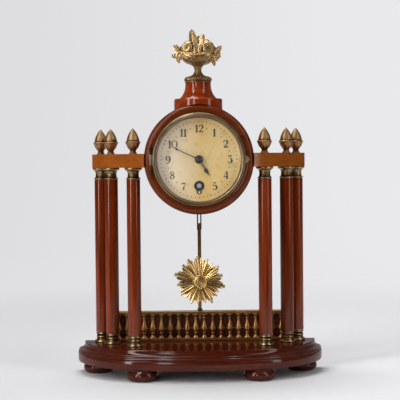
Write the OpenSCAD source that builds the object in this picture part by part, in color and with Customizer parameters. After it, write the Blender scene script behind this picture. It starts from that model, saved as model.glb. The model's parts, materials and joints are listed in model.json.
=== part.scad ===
// Portico mantel clock: a mahogany base on bun feet, six columns with gilt
// fittings, two curved beams that hold a drum case, and a pendulum that
// swings in the bay below. Millimetres. The origin is the middle of the
// footprint on the floor, +X to the right, +Y to the back, +Z up.

/* [Base] */
// Width of the base slab
base_w = 224; // [218:1:230]
// Depth of the base slab, front to back
base_d = 84; // [78:1:90]
// How far the bowed front stands in front of the rounded ends
bow_rise = 5; // [4:0.5:10]
// Thickness of the plain slab
slab_h = 8.5; // [6:0.5:14]
// Height of the moulded board on top of the slab
moulding_h = 8.5; // [7:0.5:12]
// How far the moulding draws in at its top
moulding_in = 6.2; // [5:0.1:6.5]
// Height of the bun feet
foot_h = 10; // [9:0.5:14]
// Largest radius of a bun foot
foot_r = 13.8; // [11:0.2:14]
// Distance of the front feet from the ends of the base
front_foot_side = 61; // [52:1:68]
// Distance of the rear feet from the ends of the base
rear_foot_side = 19.5; // [17:0.5:22]
// Distance of the front feet from the front edge
front_foot_in = 18; // [16:0.5:24]
// Distance of the rear feet from the back edge
rear_foot_in = 14.5; // [14.2:0.1:16]

/* [Columns] */
// Height of a column with its base and capital
column_h = 158.8; // [140:1:180]
// Radius of a column shaft
shaft_r = 6.05; // [5.4:0.05:6.6]
// Radius of the circle that the columns stand on
ring_of_columns_r = 105; // [102:0.5:108]
// Distance of the outer columns from the back edge of the slab
columns_back = 10; // [9:0.1:11]
// Angle of the inner columns from straight ahead
inner_angle = 33.8; // [32:0.2:36]
// Angle of the middle columns
middle_angle = 48.9; // [47:0.1:49.4]
// Angle of the outer columns
outer_angle = 57.9; // [57.6:0.1:58.6]
// Height of the metal base of a column
column_base_h = 9.7; // [8:0.1:14]
// Height of the metal capital of a column
capital_h = 10.8; // [9:0.2:15]
// Radius of the foot ring under a column
column_foot_r = 7.5; // [6.8:0.1:7.6]
// Height of an acorn finial
acorn_h = 22.8; // [18:0.2:28]
// Largest radius of an acorn finial
acorn_r = 6.95; // [6:0.05:7.4]
// Radius of the tie rods
rod_r = 1.5; // [1.2:0.1:1.8]

/* [Beams] */
// Height of the curved beams
beam_h = 12.2; // [11:0.2:16]
// Width of the curved beams
beam_w = 16; // [15.4:0.2:17]

/* [Drum case] */
// Outer radius of the drum
drum_r = 47.5; // [46.5:0.5:48.5]
// Wall of the drum
drum_wall = 3.5; // [3:0.1:3.5]
// Depth of the drum behind its front ring
drum_d = 36; // [36:0.5:38]
// Height of the drum's axis above the middle of the beams
drum_lift = 0.6; // [0:0.2:1.6]
// How far the drum's face stands in front of the middle line of the beams
face_out = 8.655; // [7.8:0.005:9.2]
// Outer radius of the front ring
ring_r = 48.5; // [48.5:0.5:50]
// Thickness of the front ring
ring_t = 6.5; // [6:0.1:6.6]
// How far the front ring's bore stands outside the bezel's opening
bore_outside_sight = 0.6; // [0.1:0.1:0.9]
// Half width of the pendulum slot in the drum
slot_half_w = 9; // [7:0.5:12]
// Thickness of the back cover
cover_t = 1.2; // [0.8:0.1:2]

/* [Pedestal and flowers] */
// Radius of the pedestal's drum
pedestal_r = 21.5; // [19:0.5:22]
// Height of the pedestal above the top of the drum
pedestal_h = 21; // [18:0.5:28]
// Height of its plain drum above the top of the clock's drum
plinth_h = 6.5; // [5:0.5:9]
// Radius of the pedestal's neck
neck_r = 11.3; // [10.4:0.1:13]
// Height of the urn
urn_h = 24.8; // [22:0.2:32]
// Radius of the urn's rim
urn_rim_r = 13.9; // [12:0.1:16]
// Height of the tallest leaf above the rim of the urn
flowers_h = 23.6; // [20:0.2:30]

/* [Dial and bezel] */
// Outer radius of the bezel
bezel_r = 41; // [40.6:0.1:41.4]
// Depth of the bezel, front to back
bezel_d = 4; // [3.6:0.1:4.6]
// Width of the bezel's rim, from its opening to its outer edge
bezel_rim = 3.1; // [3:0.1:3.5]
// Thickness of the glass
glass_t = 1.2; // [1:0.1:1.4]
// Thickness of the dial
dial_t = 0.8; // [0.6:0.1:1]
// Length of the bezel's hinge
hinge_len = 24.5; // [20:0.5:30]
// Radius of the hinge's knuckles
knuckle_r = 1.1; // [1:0.05:1.2]
// Radius of the hinge pin
hinge_pin_r = 0.55; // [0.4:0.05:0.6]
// Length of the minute hand, from its axis to its tip
minute_hand_len = 25.2; // [20:0.1:30]
// Length of the hour hand
hour_hand_len = 17.6; // [12:0.1:19]
// Minutes that the hands show
minutes_shown = 49.2; // [0:0.1:59.9]
// Angle of the hour hand, clockwise from twelve
hour_angle = 147.6; // [140:0.1:150]

/* [Movement] */
// Distance from the hands' axis down to the winding arbor
winding_drop = 23.2; // [23:0.05:23.4]
// Clear space between the two plates
plate_gap = 13; // [13:0.1:13.4]
// Thickness of the plates
plate_t = 1.5; // [1.2:0.1:1.7]
// Radius of the plates
plate_r = 38; // [37.5:0.1:39]
// Teeth of the great wheel on the barrel
great_teeth = 48; // [48:1:48]
// Leaves of the centre pinion
centre_leaves = 12; // [12:1:12]
// Teeth of the centre wheel and of the third wheel
wheel_teeth = 72; // [72:1:72]
// Leaves of the third pinion and of the escape pinion
pinion_leaves = 6; // [6:1:6]
// Module of the centre wheel's teeth
centre_m = 0.4; // [0.4:0.005:0.405]
// Module of the third wheel's teeth
third_m = 0.34; // [0.335:0.005:0.34]
// Teeth of the escape wheel
escape_teeth = 33; // [30:1:36]
// Tip radius of the escape wheel
escape_r = 9; // [8.6:0.1:9.2]
// Height of the anchor's axis above the hands' axis
anchor_rise = 30.5; // [30.2:0.1:31]
// Module of the cannon pinion and the minute wheel
motion_m = 0.4; // [0.38:0.01:0.4]
// Outer radius of the barrel
barrel_r = 16; // [15:0.1:16.4]
// Turns of the mainspring
spring_turns = 6; // [3:1:8]

/* [Pendulum] */
// Greatest radius of the sunburst bob
bob_r = 24; // [20:0.5:28]
// Gap between the gallery's rail and the bob
bob_gap = 3.5; // [2:0.5:8]
// Width of the flat pendulum rod
rod_w = 3.2; // [2.6:0.1:4]
// Distance of the pendulum behind the front of the drum
pendulum_in = 35; // [34:0.5:35.5]
// Swing of the pendulum to each side
swing = 3.5; // [1:0.1:3.5]

/* [Gallery] */
// Height of the gallery of balusters
gallery_h = 27.2; // [22:0.2:32]
// Gap between each end of the gallery and the foot of the outer column
gallery_gap = 0.65; // [0.4:0.05:8]
// Number of balusters
balusters = 20; // [8:1:24]
// Distance of the brass rails from the back edge of the base
gallery_in = 9.6; // [9:0.1:10.4]
// Thickness of the backing board
board_t = 3.5; // [2:0.1:5]
// Largest radius of a baluster
baluster_r = 2.5; // [1.8:0.1:2.6]

/* [Hidden] */
$fn = 64;

// Clearances: snug between fixed pieces, running at a pivot, free around
// what only passes by
snug = 0.05;
running = 0.05;
free = 0.3;
// A cut reaches this far past the face that it opens
past = 1;
// The flowers stand this far clear of the urn's rim
urn_lip = 0.3;

// Levels, from the floor up
slab_z = foot_h;
moulding_z = slab_z + slab_h;
deck_z = moulding_z + moulding_h;
beam_z = deck_z + column_h;
beam_top = beam_z + beam_h;
axis_z = beam_z + beam_h / 2 + drum_lift;
drum_top = axis_z + drum_r;
pedestal_top = drum_top + pedestal_h;
urn_top = pedestal_top + urn_h;

// Outline of the base: two turned ends and one long bowed front
half_w = base_w / 2;
back_y = base_d / 2;
front_y = -base_d / 2;
end_r = base_d - bow_rise;
end_x = half_w - end_r;
bow_r = (end_x * end_x + base_d * base_d - end_r * end_r) / (2 * (base_d - end_r));
bow_y = front_y + bow_r;
edge_round = 0.6;

// Feet
front_foot_x = half_w - front_foot_side;
rear_foot_x = half_w - rear_foot_side;
foot_places = [[-front_foot_x, front_y + front_foot_in], [front_foot_x, front_y + front_foot_in],
    [-rear_foot_x, back_y - rear_foot_in], [rear_foot_x, back_y - rear_foot_in]];
foot_flat_r = foot_r - 4.8;
foot_screw_r = 1.3;
foot_screw_head_r = 2.7;
foot_recess_r = 3.1;
foot_recess = 2.2;
foot_head_t = 1.6;
foot_screw_up = slab_h - 1;

// Colonnade
circle_y = back_y - columns_back + ring_of_columns_r * cos(outer_angle);
angles = [inner_angle, middle_angle, outer_angle];
nut_r = 3.1;
nut_t = 2.6;
nut_recess_r = nut_r + 0.5;
nut_recess = 4;
rod_hole_r = rod_r + 0.1;
rod_end = 0.6;
shaft_len = column_h - column_base_h - capital_h;
acorn_thread = 6;

// Drum
face_y = circle_y - sqrt(pow(ring_of_columns_r, 2) - pow(drum_r, 2)) - face_out;
ring_back_y = face_y + ring_t;
drum_back_y = ring_back_y + drum_d;
drum_in_r = drum_r - drum_wall;
cover_lap = 0.5;
beam_screw_y = face_y + 11.5;
pedestal_y = (face_y + drum_back_y) / 2 + 1.25;
stud_r = 2;
stud_nut_t = 3;
stud_nut_r = 3.6;
stud_up = 5;

// Wood screws, all of one size
screw_r = 0.8;
screw_len = 4.2;
screw_head_r = 1.5;
screw_head_t = 0.8;

// Dial and hands, front to back
dial_y = ring_back_y;
dial_back_y = dial_y + dial_t;
dial_r = drum_in_r - 0.5;
dial_hole_r = 3.2;
grommet_r = 4.5;
grommet_bore_r = 3.3;
grommet_t = 0.5;
hand_t = 0.4;
hour_hand_y = dial_y - 1.4;
minute_hand_y = hour_hand_y - 1.2;
boss_r = 3.8;
boss_h = 2.6;
minute_angle = minutes_shown * 6;

// Bezel and hinge
bezel_front_y = face_y - bezel_d;
sight_r = bezel_r - bezel_rim;
ring_bore_r = sight_r + bore_outside_sight;
glass_r = sight_r + 1.5;
lip_t = 0.8;
glass_y = bezel_front_y + lip_t;
hinge_x = -(bezel_r + 1.6);
hinge_y = face_y - knuckle_r - snug;
knuckle_mid = hinge_len * 0.39;
knuckle_gap = 0.15;
leaf_t = 0.9;
leaf_in = 3;
leaf_w = 1.6;
lug_h = 4.5;
lug_out = 4.2;
lug_t = 1;

// Movement, front to back
motion_gap = 4.7;
front_plate_y = dial_back_y + motion_gap;
gap_y = front_plate_y + plate_t;
back_plate_y = gap_y + plate_gap;
back_plate_back = back_plate_y + plate_t;
pillar_in = 4;
pillar_at = plate_r - pillar_in;
pillar_r = 2.5;
pillar_screw_r = 1;
winding_z = axis_z - winding_drop;
great_m = 2 * winding_drop / (great_teeth + centre_leaves);
wheel_t = 1;
third_dist = centre_m * (wheel_teeth + pinion_leaves) / 2;
third_lean = 42;
third_x = -third_dist * cos(third_lean);
third_z = axis_z + third_dist * sin(third_lean);
escape_dist = third_m * (wheel_teeth + pinion_leaves) / 2;
escape_z = third_z + sqrt(escape_dist * escape_dist - third_x * third_x);
anchor_z = axis_z + anchor_rise;
arbor_r = 1.25;
fine_arbor_r = 0.75;
barrel_y = gap_y + 0.6;
barrel_len = 7.4;
barrel_wall = 0.9;
great_t = 1.6;
barrel_arbor_r = 2;
barrel_core_r = 4.5;
square_side = 3.1;
square_out = dial_y - 1.2;
ratchet_teeth = 18;
ratchet_r = 6.5;
ratchet_t = 1.3;
ratchet_y = front_plate_y - ratchet_t - 0.3;
click_x = 11.6;
click_up = 4.2;
click_z = winding_z + click_up;
click_pivot_r = 0.9;
motion_leaves = 12;
motion_teeth = 36;
hour_leaves = 10;
hour_teeth = 40;
motion_dist = motion_m * (motion_leaves + motion_teeth) / 2;
hour_m = 2 * motion_dist / (hour_leaves + hour_teeth);
cannon_r = 1.9;
hour_pipe_r = 2.7;
motion_wheel_t = 0.9;
cannon_y = front_plate_y - 0.2;
hour_wheel_y = cannon_y - 2.5;
centre_up = 10.8;
centre_y = gap_y + centre_up;
centre_pinion_y = barrel_y + barrel_len - 0.4;
third_wheel_y = gap_y + 5.5;
escape_wheel_y = gap_y + 1.8;
pallet_gap = 1.25;
pallet_t = 1.2;

// Suspension and pendulum
pendulum_y = face_y + pendulum_in;
crutch_y = back_plate_back + 2.1;
crutch_len = 27;
crutch_t = 0.8;
cock_y = crutch_y + crutch_t + 0.8;
cock_t = 1.2;
cock_post_x = 9;
suspension_pin_r = 0.8;
chop_r = 2;
chop_t = 3.4;
spring_strip_t = 0.2;
spring_strip_h = 8;
hanger_r = 0.8;
hook_r = 2;
hook_wire_r = 0.6;
gallery_top = deck_z + gallery_h;
bob_z = gallery_top + bob_gap + bob_r;
rod_t = 1;
eye_top = axis_z - drum_r + 2.1;
eye_h = 19;
eye_bar = 1;
eye_w = 4.2;
thread_r = 1.2;
thread_in_bob = 2.3;
rod_below_rail = 6.2;
rod_bottom = gallery_top - rod_below_rail;
bob_t = 0.8;
bob_y = pendulum_y - rod_t / 2 - free - bob_t;
bob_boss_r = 8;
rays = 15;
rating_nut_r = 2.3;
rating_nut_t = 2;
rating_nut_z = bob_z - bob_r - rating_nut_t;

// Gallery
gallery_half = ring_of_columns_r * sin(outer_angle) - column_foot_r - gallery_gap;
rail_y = back_y - gallery_in;
rail_h = 2.6;
rail_t = 1.4;
baluster_h = gallery_h - 2 * rail_h;
end_baluster_in = 6.2;
baluster_pitch = 2 * (gallery_half - end_baluster_in) / (balusters - 1);
link_h = 0.8;

// Points of an arc with middle c and radius r, from angle a0 to a1
function arc(c, r, a0, a1, n = 8) = [for (i = [0:n])
    let(a = a0 + (a1 - a0) * i / n) c + r * [cos(a), sin(a)]];

// Outline of a toothed wheel: each tooth runs from a root to a narrower tip,
// with half widths given as shares of the pitch
function toothed(n, root, tip, root_half, tip_half) = [for (i = [0:n - 1])
    for (p = [[root, -root_half], [tip, -tip_half], [tip, tip_half], [root, root_half]])
    let(a = (i + p[1]) * 360 / n) p[0] * [cos(a), sin(a)]];

// Outline of a wheel and of a pinion that mesh at module m
function wheel_outline(n, m) = toothed(n, n * m / 2 - 1.1 * m, n * m / 2 + 0.75 * m, 0.27, 0.13);
function pinion_outline(n, m) = toothed(n, n * m / 2 - 1.25 * m, n * m / 2 + 0.5 * m, 0.16, 0.12);

// A turned piece on the Z axis, from an outline of [radius, height] points
module turned(points) {
    rotate_extrude() polygon(points);
}

// The same about the Y axis: its points are [radius, y]
module turned_y(points) {
    rotate([90, 0, 0]) rotate_extrude() polygon([for (p = points) [p[0], -p[1]]]);
}

// A flat shape drawn in X and Z, as thick as from y0 back to y1
module slab_y(y0, y1) {
    translate([0, y1, 0]) rotate([90, 0, 0]) linear_extrude(y1 - y0) children();
}

// A disc or rod about a line parallel to Y
module disc_y(r, y0, y1) {
    translate([0, y1, 0]) rotate([90, 0, 0]) cylinder(r = r, h = y1 - y0);
}

// A tube about a line parallel to Y
module tube_y(r, bore, y0, y1) {
    difference() {
        disc_y(r, y0, y1);
        disc_y(bore, y0 - past, y1 + past);
    }
}

// Puts a piece at a place on the clock's face
module at(x, z) {
    translate([x, 0, z]) children();
}

// The base outline, turned to the section that edge gives as [inset, z] points
module bowed_board(edge, z0, z1) {
    function section(r) = concat([[0, z0]], [for (p = edge) [r - p[0], p[1]]], [[0, z1]]);
    reach = bow_r * end_x / (bow_r - end_r);
    intersection() {
        union() {
            for (side = [-1, 1]) {
                translate([side * end_x, back_y, 0]) rotate([0, 0, 90]) rotate_extrude($fn = 128)
                polygon(section(end_r));
            }
            intersection() {
                translate([0, bow_y, 0]) rotate_extrude($fn = 256) polygon(section(bow_r));
                translate([0, 0, z0]) linear_extrude(z1 - z0) polygon([[-end_x, back_y], [end_x, back_y],
                    [reach, bow_y - bow_r * (bow_y - back_y) / (bow_r - end_r)], [reach, front_y - past],
                    [-reach, front_y - past], [-reach, bow_y - bow_r * (bow_y - back_y) / (bow_r - end_r)]]);
            }
        }
        translate([-base_w, back_y - 2 * base_d, z0]) cube([2 * base_w, 2 * base_d, z1 - z0]);
    }
}

// Places of the three columns of one side
module each_column(side) {
    for (a = angles) {
        translate([side * ring_of_columns_r * sin(a), circle_y - ring_of_columns_r * cos(a), 0]) children();
    }
}

// Places of all six columns
module every_column() {
    for (side = [-1, 1]) each_column(side) children();
}

// Tie rod holes through a board, with room for the nuts under it
module rod_holes(z0, z1) {
    every_column() translate([0, 0, z0 - past]) cylinder(r = rod_hole_r, h = z1 - z0 + 2 * past);
}

module base_slab() {
    edge = concat([[edge_round, slab_z]], [[0, slab_z + edge_round]], [[0, moulding_z]]);
    color("#5a2418") difference() {
        bowed_board(edge, slab_z, moulding_z);
        rod_holes(slab_z, moulding_z);
        every_column() translate([0, 0, slab_z - past]) cylinder(r = nut_recess_r, h = nut_recess + past);
        for (p = foot_places) {
            translate([p[0], p[1], slab_z - past]) cylinder(r = foot_screw_r + snug, h = foot_screw_up + 0.5 + past);
        }
    }
}

// An ovolo, a small step, then a cove up to the deck
module base_moulding() {
    step_z = moulding_z + 2.4;
    cove_r = min(moulding_in - 2, moulding_h - 3.8);
    edge = concat([[0.3, moulding_z]], arc([1.5, moulding_z + 1.1], 1.2, 180, 100, 4),
        [[2, step_z], [2, step_z + 0.5]],
        arc([2, step_z + 0.5 + cove_r], cove_r, 270, 360, 8),
        [[moulding_in, deck_z - 0.5], [moulding_in + 0.4, deck_z]]);
    color("#6a2c1c") difference() {
        bowed_board(edge, moulding_z, deck_z);
        rod_holes(moulding_z, deck_z);
    }
}

// A flattened bun, turned, with a screw hole up its middle
module bun_foot(i) {
    p = foot_places[i];
    color("#4a1d15") translate([p[0], p[1], 0]) difference() {
        turned(concat([[0, 0], [foot_flat_r, 0]],
            arc([foot_flat_r, foot_h * 0.48], foot_r - foot_flat_r, -90, 55, 12),
            [[foot_flat_r + 2.2, foot_h - 0.8], [foot_flat_r + 2.2, foot_h], [0, foot_h]]));
        translate([0, 0, -past]) cylinder(r = foot_screw_r + snug, h = foot_h + 2 * past);
        translate([0, 0, -past]) cylinder(r = foot_recess_r, h = foot_recess + past);
    }
}

module foot_screws() {
    color("#8f8f8c") for (p = foot_places) {
        translate([p[0], p[1], foot_recess - foot_head_t]) {
            cylinder(r = foot_screw_head_r, h = foot_head_t);
            cylinder(r = foot_screw_r, h = foot_h + foot_screw_up - foot_recess + foot_head_t);
        }
    }
}

// One wooden shaft, bored for its tie rod
module column(side, i) {
    a = angles[i];
    color("#5c2114")
    translate([side * ring_of_columns_r * sin(a), circle_y - ring_of_columns_r * cos(a), deck_z + column_base_h])
    difference() {
        cylinder(r = shaft_r, h = shaft_len);
        translate([0, 0, -past]) cylinder(r = rod_hole_r, h = shaft_len + 2 * past);
    }
}

// Foot ring, hollow neck and two beads, in brass
module column_bases() {
    k = column_base_h / 9.7;
    r = shaft_r;
    outline = [[rod_hole_r, 0], [column_foot_r, 0], [column_foot_r, 1 * k], [column_foot_r - 1, 2.2 * k],
        [r - 0.8, 3.2 * k], [r - 1.1, 4.2 * k], [r - 0.4, 4.8 * k], [r - 0.4, 6 * k], [r - 1, 6.5 * k],
        [r - 1, 7.6 * k], [r - 0.2, 8.1 * k], [r - 0.2, 9.3 * k], [r - 0.6, column_base_h],
        [rod_hole_r, column_base_h]];
    color("#b08d4e") every_column() translate([0, 0, deck_z]) turned(outline);
}

// Astragal, neck, flare and round abacus
module column_capitals() {
    k = capital_h / 10.8;
    r = shaft_r;
    outline = concat([[rod_hole_r, 0], [r - 0.3, 0]], arc([r - 0.6, 1.5 * k], 0.9 * k, -70, 90, 6),
        [[r - 1.1, 2.6 * k], [r - 1.1, 5.6 * k], [r - 0.5, 6.4 * k], [r + 0.9, 7.9 * k],
        [column_foot_r + 0.2, 8.8 * k], [column_foot_r + 0.2, capital_h], [rod_hole_r, capital_h]]);
    color("#a88448") every_column() translate([0, 0, beam_z - capital_h]) turned(outline);
}

// Acorns on short flared feet, which screw onto the tie rods
module acorn_finials() {
    k = acorn_h / 22.8;
    r = acorn_r;
    outline = concat([[0, 0], [3.4, 0], [3.4, 0.7 * k]], arc([3.6, 1.9 * k], 1.3, 260, 120, 5),
        [[3.4, 3.6 * k], [5.2, 5.2 * k], [6.4, 7.4 * k], [r, 9.6 * k], [r, 10.9 * k], [r - 0.7, 11.4 * k]],
        [for (t = [0:8]) [(r - 0.6) * pow(cos(90 * pow(t / 8, 1.25)), 0.85), (11.6 + 10.8 * t / 8) * k]],
        [[0, acorn_h]]);
    color("#9a7440") every_column() translate([0, 0, beam_top]) difference() {
        turned(outline);
        translate([0, 0, -past]) cylinder(r = rod_r + snug, h = acorn_thread + 0.4 + past);
    }
}

// Rods with a nut in the base at one end and an acorn at the other, and the
// stud that holds the pedestal and the urn on the drum
module tie_rods() {
    stud_z = axis_z + drum_in_r - stud_nut_t - 1.4;
    nut_z = axis_z + drum_in_r - stud_nut_t - 0.3;
    color("#8d8a80") {
        every_column() {
            translate([0, 0, slab_z + rod_end]) cylinder(r = rod_r, h = beam_top + acorn_thread - slab_z - rod_end);
            translate([0, 0, slab_z + nut_recess - nut_t]) difference() {
                cylinder(r = nut_r, h = nut_t, $fn = 6);
                translate([0, 0, -past]) cylinder(r = rod_r + snug, h = nut_t + 2 * past, $fn = 32);
            }
        }
        translate([0, pedestal_y, stud_z]) cylinder(r = stud_r, h = pedestal_top + stud_up - stud_z);
        translate([0, pedestal_y, nut_z]) difference() {
            cylinder(r = stud_nut_r, h = stud_nut_t, $fn = 6);
            translate([0, 0, -past]) cylinder(r = stud_r + snug, h = stud_nut_t + 2 * past, $fn = 32);
        }
    }
}

// The drum with its ring, a little larger, to cut what is fitted round it
module drum_envelope(extra) {
    at(0, axis_z) {
        disc_y(ring_r + extra, front_y - base_d, ring_back_y);
        disc_y(drum_r + extra, ring_back_y - past, drum_back_y + base_d);
    }
}

// An arc of the colonnade's circle, round at the outer column and cut to the drum
module beam(side) {
    out_x = ring_of_columns_r * sin(outer_angle);
    out_y = -ring_of_columns_r * cos(outer_angle);
    far = 3 * ring_of_columns_r;
    color("#9c5a30") difference() {
        translate([0, circle_y, beam_z]) union() {
            intersection() {
                difference() {
                    cylinder(r = ring_of_columns_r + beam_w / 2, h = beam_h, $fn = 256);
                    translate([0, 0, -past])
                    cylinder(r = ring_of_columns_r - beam_w / 2, h = beam_h + 2 * past, $fn = 256);
                }
                translate([0, 0, -past]) linear_extrude(beam_h + 2 * past) polygon([[0, 0], [0, -far],
                    [side * far * sin(outer_angle), -far * cos(outer_angle)]]);
            }
            translate([side * out_x, out_y, 0]) cylinder(r = beam_w / 2, h = beam_h);
        }
        drum_envelope(snug);
        translate([side < 0 ? 0 : -half_w, -2 * base_d, 0]) cube([half_w, 4 * base_d, beam_top + past]);
        each_column(side) translate([0, 0, beam_z - past]) cylinder(r = rod_hole_r, h = beam_h + 2 * past);
        beam_screw_places() wood_screw(snug);
    }
}

// A wood screw along +X from its head's inner face, head first
module wood_screw(extra) {
    rotate([0, 90, 0]) {
        translate([0, 0, -screw_head_t]) cylinder(r = screw_head_r + extra, h = screw_head_t + extra);
        cylinder(r = screw_r + extra, h = screw_len + 4 * extra);
    }
}

module beam_screw_places() {
    for (side = [-1, 1], dz = [-3, 3]) {
        translate([side * (sqrt(drum_in_r * drum_in_r - 25) - 0.3), beam_screw_y, axis_z + dz])
        rotate([0, 0, side < 0 ? 180 : 0]) translate([-0.2, 0, 0]) children();
    }
}

module dial_screw_places() {
    for (a = [30, 150, 270]) {
        translate([(dial_r - 1.9) * cos(a), dial_back_y, axis_z + (dial_r - 1.9) * sin(a)])
        rotate([0, 0, -90]) children();
    }
}

module cover_screw_places() {
    for (a = [45, 135, 225, 315]) {
        translate([(drum_r - drum_wall / 2) * cos(a), drum_back_y + cover_t,
            axis_z + (drum_r - drum_wall / 2) * sin(a)]) rotate([0, 0, -90]) children();
    }
}

module gallery_screw_places() {
    up = screw_head_r + 3 * snug;
    for (x = [-gallery_half + 2.5, gallery_half - 2.5], z = [deck_z + up, gallery_top - up]) {
        translate([x, rail_y - rail_t, z]) rotate([0, 0, 90]) children();
    }
}

module case_screws() {
    color("#b39a5c") {
        beam_screw_places() wood_screw(0);
        dial_screw_places() wood_screw(0);
        cover_screw_places() wood_screw(0);
        gallery_screw_places() wood_screw(0);
    }
}

module gallery_board() {
    color("#4b1a12") difference() {
        translate([-gallery_half, rail_y, deck_z]) cube([2 * gallery_half, board_t, gallery_h]);
        gallery_screw_places() wood_screw(snug);
    }
}

// Two rails and a row of half-round balusters, joined by small links
module gallery_balusters() {
    k = baluster_h;
    r = baluster_r;
    outline = [[0, -0.1], [r * 1.06, -0.1], [r * 1.06, 0.03 * k], [r * 0.8, 0.09 * k], [r * 0.45, 0.14 * k],
        [r * 0.42, 0.18 * k], [r * 0.75, 0.25 * k], [r, 0.35 * k], [r, 0.45 * k], [r * 0.8, 0.58 * k],
        [r * 0.55, 0.74 * k], [r * 0.52, 0.88 * k], [r * 0.72, 0.92 * k], [r * 0.95, 0.97 * k],
        [r * 0.95, k + 0.1], [0, k + 0.1]];
    color("#a9854a") difference() {
        union() {
            for (z = [deck_z, gallery_top - rail_h]) {
                translate([-gallery_half, rail_y - rail_t, z]) cube([2 * gallery_half, rail_t, rail_h]);
            }
            for (i = [0:balusters - 1]) {
                translate([-gallery_half + end_baluster_in + i * baluster_pitch, rail_y, deck_z + rail_h])
                intersection() {
                    turned(outline);
                    translate([-2 * r, -2 * r, -past]) cube([4 * r, 2 * r, k + 2 * past]);
                }
            }
            translate([-gallery_half + 6.2, rail_y - rail_t / 2, deck_z + rail_h + 0.47 * k])
            cube([2 * gallery_half - 12.4, rail_t / 2, link_h]);
        }
        gallery_screw_places() wood_screw(snug);
    }
}

module drum_case() {
    color("#5c2115") difference() {
        at(0, axis_z) tube_y(drum_r, drum_in_r, ring_back_y, drum_back_y);
        translate([-slot_half_w, pendulum_y - 5, axis_z - drum_r - past])
        cube([2 * slot_half_w, 10, drum_wall + 5]);
        beam_screw_places() wood_screw(snug);
        cover_screw_places() wood_screw(snug);
        translate([0, pedestal_y, axis_z]) cylinder(r = stud_r + 0.1, h = drum_r + past);
    }
}

// The flat ring round the bezel, with a fine bead on its rim
module front_ring() {
    color("#6b2a1a") difference() {
        at(0, axis_z) turned_y(concat([[ring_bore_r, ring_back_y], [ring_bore_r, face_y],
            [ring_r - 1.6, face_y], [ring_r - 1.4, face_y + 0.5]],
            arc([ring_r - 0.8, face_y + 1], 0.8, 215, 360, 6), [[ring_r, ring_back_y]]));
        leaf_recess(snug);
        dial_screw_places() wood_screw(snug);
    }
}

// Plinth saddled on the drum, then a neck that flares down to it
module pedestal() {
    waist = pedestal_r - 5.5;
    flare = [for (t = [0:10]) [neck_r + (waist - neck_r) * pow(1 - t / 10, 2.6), plinth_h + 1
        + (pedestal_h - plinth_h - 1) * t / 10]];
    outline = concat([[0, -drum_r], [pedestal_r, -drum_r], [pedestal_r, plinth_h - 0.6],
        [pedestal_r - 0.6, plinth_h], [waist + 0.8, plinth_h + 0.2]], flare, [[0, pedestal_h]]);
    color("#722a18") difference() {
        translate([0, pedestal_y, drum_top]) difference() {
            turned(outline);
            translate([0, 0, -drum_r - past]) cylinder(r = stud_r + 0.1, h = 3 * drum_r);
        }
        drum_envelope(snug);
        translate([-drum_r, -2 * base_d, axis_z - drum_r]) cube([2 * drum_r, 4 * base_d, drum_r + drum_r / 2]);
    }
}

// Gadrooned foot, waisted stem, collar and shallow bowl
module finial_urn() {
    k = urn_h / 24.8;
    rim = urn_rim_r;
    outline = concat([[0, 0], [11.9, 0], [11.9, 1.2 * k], [11.2, 1.6 * k], [11.4, 3 * k], [10.8, 4.4 * k],
        [8.6, 5.8 * k], [5.6, 6.6 * k], [4.6, 7.8 * k], [3.9, 10 * k], [3.8, 12 * k], [4.2, 14.4 * k],
        [5.4, 15.8 * k], [5.4, 17.8 * k]],
        [for (t = [1:6]) [5.4 + (rim - 5.4) * sin(15 * t), (17.8 + 5.4 * pow(t / 6, 1.3)) * k]],
        [[rim + urn_lip, urn_h - 0.8], [rim, urn_h], [0, urn_h]]);
    color("#b58b45") translate([0, pedestal_y, pedestal_top]) difference() {
        turned(outline);
        translate([0, 0, -past]) cylinder(r = stud_r + snug, h = stud_up + 0.5 + past);
    }
}

// A pointed leaf that starts at from, turns out and ends at tip
module leaf(from, tip, wide) {
    mid = (from * 0.45 + tip * 0.55) + [0, 0, 0.8];
    hull() {
        translate(from) sphere(r = 1.1, $fn = 10);
        translate(mid) for (s = [-1, 1]) translate([s * (wide / 2 - 0.8), 0, 0]) sphere(r = 0.8, $fn = 10);
        translate(tip) sphere(r = 0.55, $fn = 8);
    }
}

// A round flower: a ball with a folded rim round it
module rose(r) {
    sphere(r = r * 0.8, $fn = 24);
    for (t = [0:2]) {
        rotate([0, 0, t * 120]) translate([0, 0, -r * 0.15]) rotate([12, 0, 0])
        rotate_extrude($fn = 20) translate([r * 0.68, 0]) circle(r = r * 0.3, $fn = 8);
    }
}

// A mound of roses with leaves that stand and hang round it, clear of the urn
module flower_basket() {
    k = flowers_h / 23.6;
    lift = 2 * snug;
    color("#b98f48") translate([0, pedestal_y, urn_top]) difference() {
        scale(k) {
            difference() {
                translate([0, 0, -8]) sphere(r = 16.5, $fn = 32);
                translate([-30, -30, lift - 60]) cube([60, 60, 60]);
            }
            translate([-8, -3, 6.6]) rotate([70, 0, 0]) rose(5.6);
            translate([10, -3, 6.6]) rotate([70, 0, 0]) rose(6.4);
            translate([-3, 6, 7]) rotate([-60, 0, 0]) rose(5.8);
            leaf([-3, 0, 4], [-3.2, 0, 23.6], 5.6);
            leaf([1, 0, 4], [6.6, 1, 18.4], 4.6);
            leaf([2, 2, 3], [1, 8, 16.5], 4.6);
            leaf([-9, 0, 2], [-19.8, 0, 8], 4.6);
            leaf([9, 0, 2], [20.8, 0, 7.3], 4.6);
            leaf([-9, -1, 0.8], [-19.6, -1, 0.6], 4);
            leaf([10, -1, 1.6], [18.6, -2, 0.4], 4.2);
            leaf([-12, -2, 2.2], [-15.8, -3, -5.2], 3.6);
            leaf([12, -2, 2.2], [15.4, -4, -7.2], 3.6);
        }
        translate([0, 0, -urn_h / 2]) cylinder(r = urn_rim_r + urn_lip + snug, h = urn_h / 2 + lift / 2);
    }
}

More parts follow.
